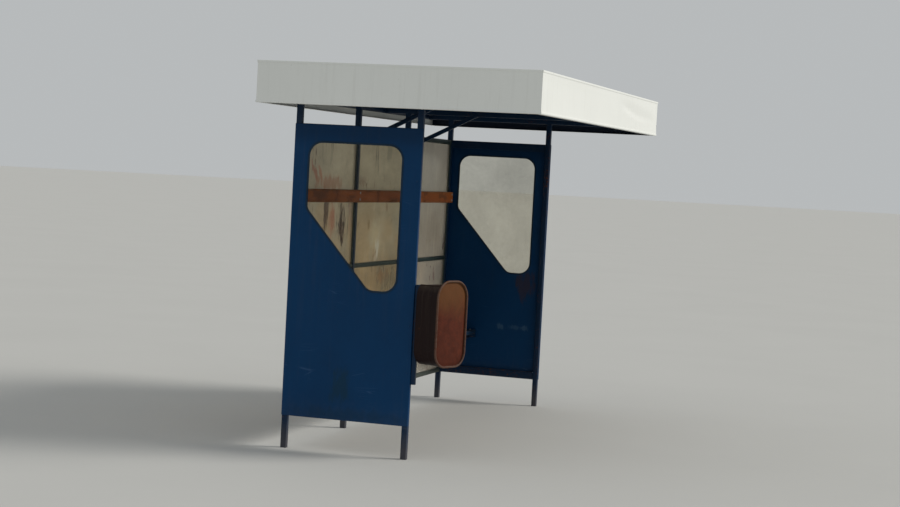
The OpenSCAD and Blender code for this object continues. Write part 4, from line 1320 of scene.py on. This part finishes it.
class Bin:
    """The bin's own turned axes and its outline, and the pieces on them."""

    def __init__(self):
        front = box_of("bin_front")
        turn, half, top = math.radians(BIN_TURN), BIN_WIDTH / 2, front.size[2]
        self.across = np.array([math.cos(turn), -math.sin(turn), 0])
        self.behind = np.array([math.sin(turn), math.cos(turn), 0])
        self.height = top
        self.origin = np.array([*front.mid[:2], front.lo[2]])
        self.outline = Outline([(-half, top), (half, top), (half, 0), (-half, 0)], BIN_RADII, 0.02, 12)

    def at(self, uv, w):
        """Point at u across the bin, v up from its foot and w behind the rim's middle plane."""
        u, v, w = np.broadcast_arrays(uv[..., 0], uv[..., 1], w)
        return self.origin + u[..., None] * self.across + v[..., None] * Z + w[..., None] * self.behind

    def plate(self):
        """Rim: a circle carried round the outline. Plate: shrinking copies of the outline, set back
        behind the rim, with a rolled fillet, a pressed step and a shallow crown, closed at both poles."""
        wire, t, line = sizes().rim_wire, sizes().bin_sheet, self.outline
        build = Build()
        a = np.arange(16) * TURN / 16
        rim = line.at(-wire)[:, None] + line.out[:, None] * (wire * np.cos(a))[:, None]
        build.rod(self.at(rim, wire * np.sin(a)), 1.0, closed=True)
        inset = (0.006, 0.012, 0.016, 0.020, 0.026, 0.036, 0.044)
        setback = (0.003, 0.0052, 0.0058, 0.006, 0.0045, 0.0028, 0.0022)
        rings = np.stack([line.at(-i) for i in inset])
        share = np.linspace(0.86, 0.12, 7)
        middle = np.array([0.0, self.height / 2])
        spine = middle + (rings[-1] - middle) * (0.25, 0.62)
        inner = spine + (rings[-1] - spine) * share[:, None, None]
        front = np.concatenate([rings, inner])
        w = np.concatenate([setback, 0.0022 - 0.0035 * (1 - share ** 2)])[:, None]
        w = w + 0.0007 * ripple(front[..., 0] * 30 + front[..., 1] * 21, 61)
        both = np.concatenate([self.at(front, w), self.at(front[::-1], w[::-1] + t)])
        rows, cols = both.shape[:2]
        poles, seam = rows * cols, rows // 2 - 1
        faces = [np.delete(quads(rows, cols, True, True).reshape(rows, -1), seam, 0).reshape(-1, 4)]
        for i, way in ((0, 1), (1, -1)):
            ring = np.arange(cols) + (seam + i) * cols
            faces.append(np.stack([ring, np.full(cols, poles + i), np.roll(ring, -1)], 1)[:, ::way])
        build.add(np.vstack([both.reshape(-1, 3), both[seam:seam + 2].mean(1)]), faces)
        build.finish("bin_front_plate", "bin_rust", "bin_front")

    def trough(self):
        """Sheet that follows the outline from one side of the mouth round the foot to the other,
        carried from the rear wall to the front plate. Two swages run round it and its mouth
        edges are rolled. The rear wall is a flat plate on the same line, level at the mouth."""
        wire, t = sizes().rim_wire, sizes().bin_sheet
        line, cut = self.outline.at(-wire), self.height - BIN_MOUTH
        low = line[:, 1] < cut
        start = int(np.flatnonzero(low & ~np.roll(low, 1))[0])
        run = (start - 1 + np.arange(low.sum() + 2)) % len(line)
        pts, out = line[run], self.outline.out[run]
        for tip, after in ((0, 1), (-1, -2)):
            share = (cut - pts[after, 1]) / (pts[tip, 1] - pts[after, 1])
            pts[tip] = pts[after] + (pts[tip] - pts[after]) * share
        w0, w1 = wire + GAP, wire + GAP + BIN_DEPTH - t
        w = np.linspace(w0 - wire, w1, 36)
        s = (w - w0) / (w1 - w0)
        swage = sum(np.exp(-((s - at) / SWAGE_HALF) ** 2) for at in (0.3, 0.72))
        swage = SWAGE_DEPTH * swage - SWAGE_DEPTH
        sheet = [pts[::way] + out[::way] * (swage - t * i)[:, None, None] for i, way in ((0, 1), (1, -1))]
        build = Build().rod(self.at(np.concatenate(sheet, 1), w[:, None]), 0.15, ladder=True)
        a = np.arange(10) * TURN / 10
        for end in (0, -1):
            roll = pts[end] - out[end] * (0.003, 0) + MOUTH_ROLL * np.stack([np.cos(a), np.sin(a)], 1)
            build.rod(self.at(roll[None], w[[1, -1], None]), 1.0)
        build.rod(self.at((pts - out * t / 2)[None], np.array([w1, w1 + t])[:, None]), 0.3)
        build.finish("bin_trough", "bin_paint", "bin_body")

    def bar(self):
        """Upright square bar with closed ends, and the two wedge arms that hold the bin's back."""
        lo, hi = box_of("bin_bracket")[:2]
        x, y = box_of("near_front_post").mid[0], hi[1] - BAR / 2
        build = Build().tube((x, y, lo[2]), (x, y, hi[2]), X, BAR, BAR)
        front = hi[1] - BAR
        back_w = sizes().rim_wire + 2 * GAP + BIN_DEPTH
        beside = (x - self.origin[0] - back_w * self.behind[0]) / self.across[0]
        for z in ARM_LEVELS:
            ends = [self.at(np.array([u, z]), back_w) for u in (beside + 0.065 + BAR, beside - BAR / 2)]
            low = np.array([
                (x - BAR / 2, front + 0.0015, 0), (x + BAR / 2, front + 0.0015, 0), (x + BAR / 2, front, 0),
                *(end * (1, 1, 0) for end in ends), (x - BAR / 2, front, 0),
            ])
            rise = np.array([0, 0.003, ARM_HEIGHT - 0.003, ARM_HEIGHT])
            pinch = np.array([0.93, 1, 1, 0.93])
            grid = low.mean(0) + (low - low.mean(0)) * pinch[:, None, None]
            grid[..., 2] = self.origin[2] + z + rise[:, None]
            build.rod(grid, 0.5)
        build.finish("bin_bar_and_arms", "frame_paint", "bin_bracket")


def litter_bin():
    made = Bin()
    made.plate()
    made.trough()
    made.bar()


class SHELTER_OT_bin(Piece):
    """Litter bin: dished front plate with a rolled rim, swaged trough, and its bar and arms"""

    bl_idname = "shelter.bin"
    bl_label = "Litter bin"
    parts = (litter_bin,)


def panel_screws():
    """Along both posts and both rails behind each side panel."""
    r = sizes().screw / 2
    for end in ENDS:
        face, outward = panel_face(end)
        rails = [box_of(f"{end}_{level}_rail").mid[2] for level in ("bottom", "top")]
        posts = [box_of(f"{end}_{side}_post").mid[1] for side in ("front", "back")]
        z = np.linspace(*rails, round((rails[1] - rails[0]) / sizes().screw_gap) + 1)
        y = np.linspace(*posts, 4)[1:-1]
        spots = [(face, p, h) for p in posts for h in z] + [(face, a, h) for a in y for h in rails]
        Build().studs(head(r, r * 0.55), spots, outward * X).finish(f"panel_screws_{end}", "panel_paint")


def board_bolts():
    """Round bolt heads on the shoulder board, the backrest and every slat, in line with the posts."""
    r = sizes().bolt / 2
    shape = head(r, r * 0.45, 12)
    board, rest = box_of("shoulder_board"), box_of("bench_backrest")
    posts = np.clip(rear_posts(), board.lo[0] + 0.03, board.hi[0] - 0.03)
    build = Build()
    for box, spread in ((board, 0.024), (rest, 0.02)):
        spots = [(x, box.lo[1] + 0.0006, box.mid[2] + s) for x in posts for s in (-spread, spread)]
        build.studs(shape, spots, -Y)
    spots = [(x, (lo[1] + hi[1]) / 2, hi[2] - 0.0006) for x in posts for lo, hi in slat_boxes()]
    build.studs(shape, spots, Z).finish("board_bolts", "galvanised")


def strip_screws():
    """Small screws along the glazing strips."""
    y = box_of("rear_glazing_beads").lo[1] + 0.0012
    spots = []
    for node in REAR_PANES:
        z0, z1 = (v[2] for v in box_of(node)[:2])
        for x0, x1 in bays():
            xs = np.linspace(x0 + ROW_END, x1 - ROW_END, 5)
            zs = np.linspace(z0 + 0.12, z1 - 0.12, 4)
            spots += [(x, y, z) for x in xs for z in (z0 + 0.0033, z1 - 0.0033)]
            spots += [(x, y, z) for x in (x0 + 0.0036, x1 - 0.0036) for z in zs]
    Build().studs(head(0.0026, 0.0015, 8), spots, -Y).finish("strip_screws", "galvanised")


def roof_screws():
    """One washered screw on every rib over every purlin."""
    lo, hi, _, size = box_of("roof_cover")
    purlins = box_of("roof_purlins")
    ribs, first = roof_ribs()
    fall = (size[2] - COVER_RIB - COVER_SHEET) / size[1]
    ys = (purlins.lo[1] + 0.02, purlins.mid[1], purlins.hi[1] - 0.02)
    xs = [lo[0] + first + i * COVER_PITCH for i in range(ribs)]
    spots = [(x, y, hi[2] - fall * (y - lo[1]) + 0.0002) for x in xs for y in ys]
    shape = head(0.0065, 0.006, 8, washer=0.0095)
    Build().studs(shape, spots, (0, fall, 1)).finish("roof_screws", "galvanised")


def edge_rivets():
    """Rivets in a row under the lower fold of the roof edge."""
    build = Build()
    for side in ("front", "rear", "near", "far"):
        lo, hi, mid, size = box_of(f"{side}_fascia")
        axis = int(np.argmax(size))
        spots = np.tile(mid - 0.004 * np.sign(mid), (int(size[axis] / RIVET_GAP), 1))
        spots[:, axis] = np.linspace(lo[axis] + ROW_END, hi[axis] - ROW_END, len(spots))
        spots[:, 2] = lo[2]
        build.studs(head(0.0045, 0.0016, 8), spots, -Z)
    build.finish("edge_rivets", "fascia_paint")


def bin_bolts():
    """Hex bolts through the sides of the bar at both arms."""
    x, y = box_of("near_front_post").mid[0], box_of("bin_bracket").hi[1] - BAR / 2
    levels = np.array(ARM_LEVELS) + box_of("bin_front").lo[2] + ARM_HEIGHT / 2
    build = Build()
    for way in (-1, 1):
        build.studs(hex_head(0.013, 0.008), [(x + way * BAR / 2, y, z) for z in levels], way * X)
    build.finish("bin_bolts", "frame_paint")


class SHELTER_OT_fasteners(Piece):
    """Screws, bolts, rivets and roof screws in their rows"""

    bl_idname = "shelter.fasteners"
    bl_label = "Screws and bolts"
    parts = (panel_screws, board_bolts, strip_screws, roof_screws, edge_rivets, bin_bolts)


def frame_welds():
    leg = sizes().weld
    build = Build()
    for end in ENDS:
        for place in ("front", "back", "middle"):
            _, hi, mid, size = box_of(f"{end}_{place}_post")
            weld_round(build, (*mid[:2], hi[2]), size[:2] / 2, X, Y, -Z, leg, 3, (0, 0, 1, 1))
        for level in ("top", "bottom"):
            lo, hi, mid, size = box_of(f"{end}_{level}_rail")
            sides = (1, 0, 1, 1) if end == "near" else (0, 1, 1, 1)
            for y, out in ((lo[1], Y), (hi[1], -Y)):
                weld_round(build, (mid[0], y, mid[2]), size[::2] / 2, X, Z, out, leg, 7, sides)
    build.finish("welds_frame", "frame_paint")


def rail_welds():
    leg = sizes().weld * 0.7
    build = Build()
    for level in REAR_LEVELS:
        _, _, mid, size = box_of(f"rear_{level}_rails")
        for x0, x1 in bays():
            for x, out in ((x0, X), (x1, -X)):
                weld_round(build, (x, *mid[1:]), size[1:] / 2, Y, Z, out, leg, 9, (1, 1, 0, 0))
    build.finish("welds_rails", "rail_paint")


def bracket_welds():
    leg = sizes().weld * 0.8
    build = Build()
    lo, hi, _, _ = box_of("bench_brackets")
    half, post_y, under = BRACKET_TUBE / 2, rear_post_front(), hi[2] - BRACKET_TUBE
    for x in rear_posts():
        weld_round(build, (x, post_y, hi[2] - half), (half, half), X, Z, -Y, leg, 11)
        for side in (-1, 1):
            edge = x + side * half
            weld(build, (edge, lo[1] + 0.045, under), (edge, lo[1] + 0.09, under), side * X, -Z, leg, 13)
    for end in ENDS:
        lo, hi, mid, size = box_of(f"{end}_knee_brace")
        for side in (-1, 1):
            x = mid[0] + side * size[0] / 2
            weld(build, (x, hi[1], lo[2] + 0.003), (x, hi[1], lo[2] + 0.03), side * X, -Y, leg, 17)
            weld(build, (x, lo[1] + 0.004, hi[2]), (x, lo[1] + 0.062, hi[2]), side * X, -Z, leg, 19)
    build.finish("welds_brackets", "frame_paint")


class SHELTER_OT_welds(Piece):
    """Rippled fillet welds where tubes meet"""

    bl_idname = "shelter.welds"
    bl_label = "Welds"
    parts = (frame_welds, rail_welds, bracket_welds)


def to_matrix(x, y, z, place):
    """Matrix whose columns are three directions and a place."""
    rows = np.eye(4)
    rows[:3] = np.stack([x, y, z, place], 1)
    return Matrix(rows.tolist())


def pale_floor():
    """Round flat floor: rings of growing radius about the middle of the shelter."""
    scene = bpy.context.scene
    lo, hi = (np.array(v) for v in CAD_BOX)
    a = np.linspace(0, TURN, FLOOR_SIDES, endpoint=False)
    flat = (lo + hi)[:2] / 2 + np.array(FLOOR_RINGS)[:, None, None] * np.stack([np.cos(a), np.sin(a)], -1)
    points = np.insert(flat.reshape(-1, 2), 2, lo[2] - 0.0005, 1)
    faces = quads(len(FLOOR_RINGS), FLOOR_SIDES, False, True)[:, ::-1].tolist()
    mesh = bpy.data.meshes.new("floor")
    mesh.from_pydata(points.tolist(), [], faces + [list(range(FLOOR_SIDES))])
    mesh.update()
    floor = bpy.data.objects.new("floor", mesh)
    scene.collection.objects.link(floor)
    m = Finish("stage_floor")
    m.shown = paint_tone(m, Color=scene.shelter_stage.floor, Amount=0.03, Scale=0.6)[0]
    m.end(0.9, Specular_IOR_Level=0.1)
    mesh.materials.append(m.material)


def key_light():
    """Wide soft key from the open front, a little from the far side and above."""
    scene = bpy.context.scene
    lamp = bpy.data.lights.new("key", "SUN")
    lamp.energy, lamp.angle, lamp.color = scene.shelter_stage.key, SUN_SPREAD, SUN_COLOUR
    key = bpy.data.objects.new("key", lamp)
    x, y, z = turned_to(SUN_FROM)
    key.matrix_world = to_matrix(x, y, z, z * 20)
    scene.collection.objects.link(key)


def surround():
    """Pale world of one colour."""
    scene = bpy.context.scene
    scene.world = bpy.data.worlds.new("surround")
    scene.world.use_nodes = True
    shader = scene.world.node_tree.nodes["Background"]
    shader.inputs["Color"].default_value = SKY_COLOUR
    shader.inputs["Strength"].default_value = scene.shelter_stage.sky


def camera():
    """Camera at the photograph's own place, tilted as it was, turned to the middle of the shelter."""
    scene = bpy.context.scene
    data = bpy.data.cameras.new("camera")
    data.sensor_width, data.lens = 36.0, scene.shelter_stage.lens
    data.clip_start, data.clip_end = 0.1, 500.0
    camera = bpy.data.objects.new("camera", data)
    ahead = unit(np.subtract(CAMERA_TARGET, CAMERA_PLACE))
    level = unit(np.cross(ahead, Z))
    upright = np.cross(level, ahead)
    c, s = math.cos(CAMERA_ROLL), math.sin(CAMERA_ROLL)
    right, up = c * level + s * upright, -s * level + c * upright
    camera.matrix_world = to_matrix(right, up, -ahead, CAMERA_PLACE)
    scene.collection.objects.link(camera)
    scene.camera = camera
    scene.view_settings.view_transform = "Standard"


class SHELTER_OT_stage(Piece):
    """Pale floor, soft light from the front, pale surround and the camera"""

    bl_idname = "shelter.stage"
    bl_label = "Stage"
    parts = (pale_floor, key_light, surround, camera)


STEPS = (
    SHELTER_OT_finishes, SHELTER_OT_tubes, SHELTER_OT_braces, SHELTER_OT_side_panels, SHELTER_OT_roof_edge,
    SHELTER_OT_roof_top, SHELTER_OT_glazing, SHELTER_OT_boards, SHELTER_OT_bin, SHELTER_OT_fasteners,
    SHELTER_OT_welds, SHELTER_OT_stage,
)
SETTINGS = {
    "shelter_sizes": SHELTER_sizes, "shelter_colours": SHELTER_colours, "shelter_stage": SHELTER_stage,
}


class SHELTER_PT_steps(bpy.types.Panel):
    """Sidebar panel that lists the steps in their order, and the settings"""

    bl_idname = "SHELTER_PT_steps"
    bl_label = "Bus shelter"
    bl_space_type = "VIEW_3D"
    bl_region_type = "UI"
    bl_category = "Shelter"

    def draw(self, context):
        column = self.layout.column(align=True)
        for step in STEPS:
            column.operator(step.bl_idname)
        for name, cls in SETTINGS.items():
            box = self.layout.box()
            for setting in cls.__annotations__:
                box.prop(getattr(context.scene, name), setting)


CLASSES = (*SETTINGS.values(), *STEPS, SHELTER_PT_steps)


def register():
    for cls in CLASSES:
        bpy.utils.register_class(cls)
    for name, cls in SETTINGS.items():
        setattr(bpy.types.Scene, name, bpy.props.PointerProperty(type=cls))


def unregister():
    for name in SETTINGS:
        delattr(bpy.types.Scene, name)
    for cls in reversed(CLASSES):
        bpy.utils.unregister_class(cls)


def main():
    register()
    for step in STEPS:
        family, name = step.bl_idname.split(".")
        if getattr(getattr(bpy.ops, family), name)() != {"FINISHED"}:
            raise RuntimeError(f"{step.bl_label} did not finish")


if __name__ == "__main__":
    main()
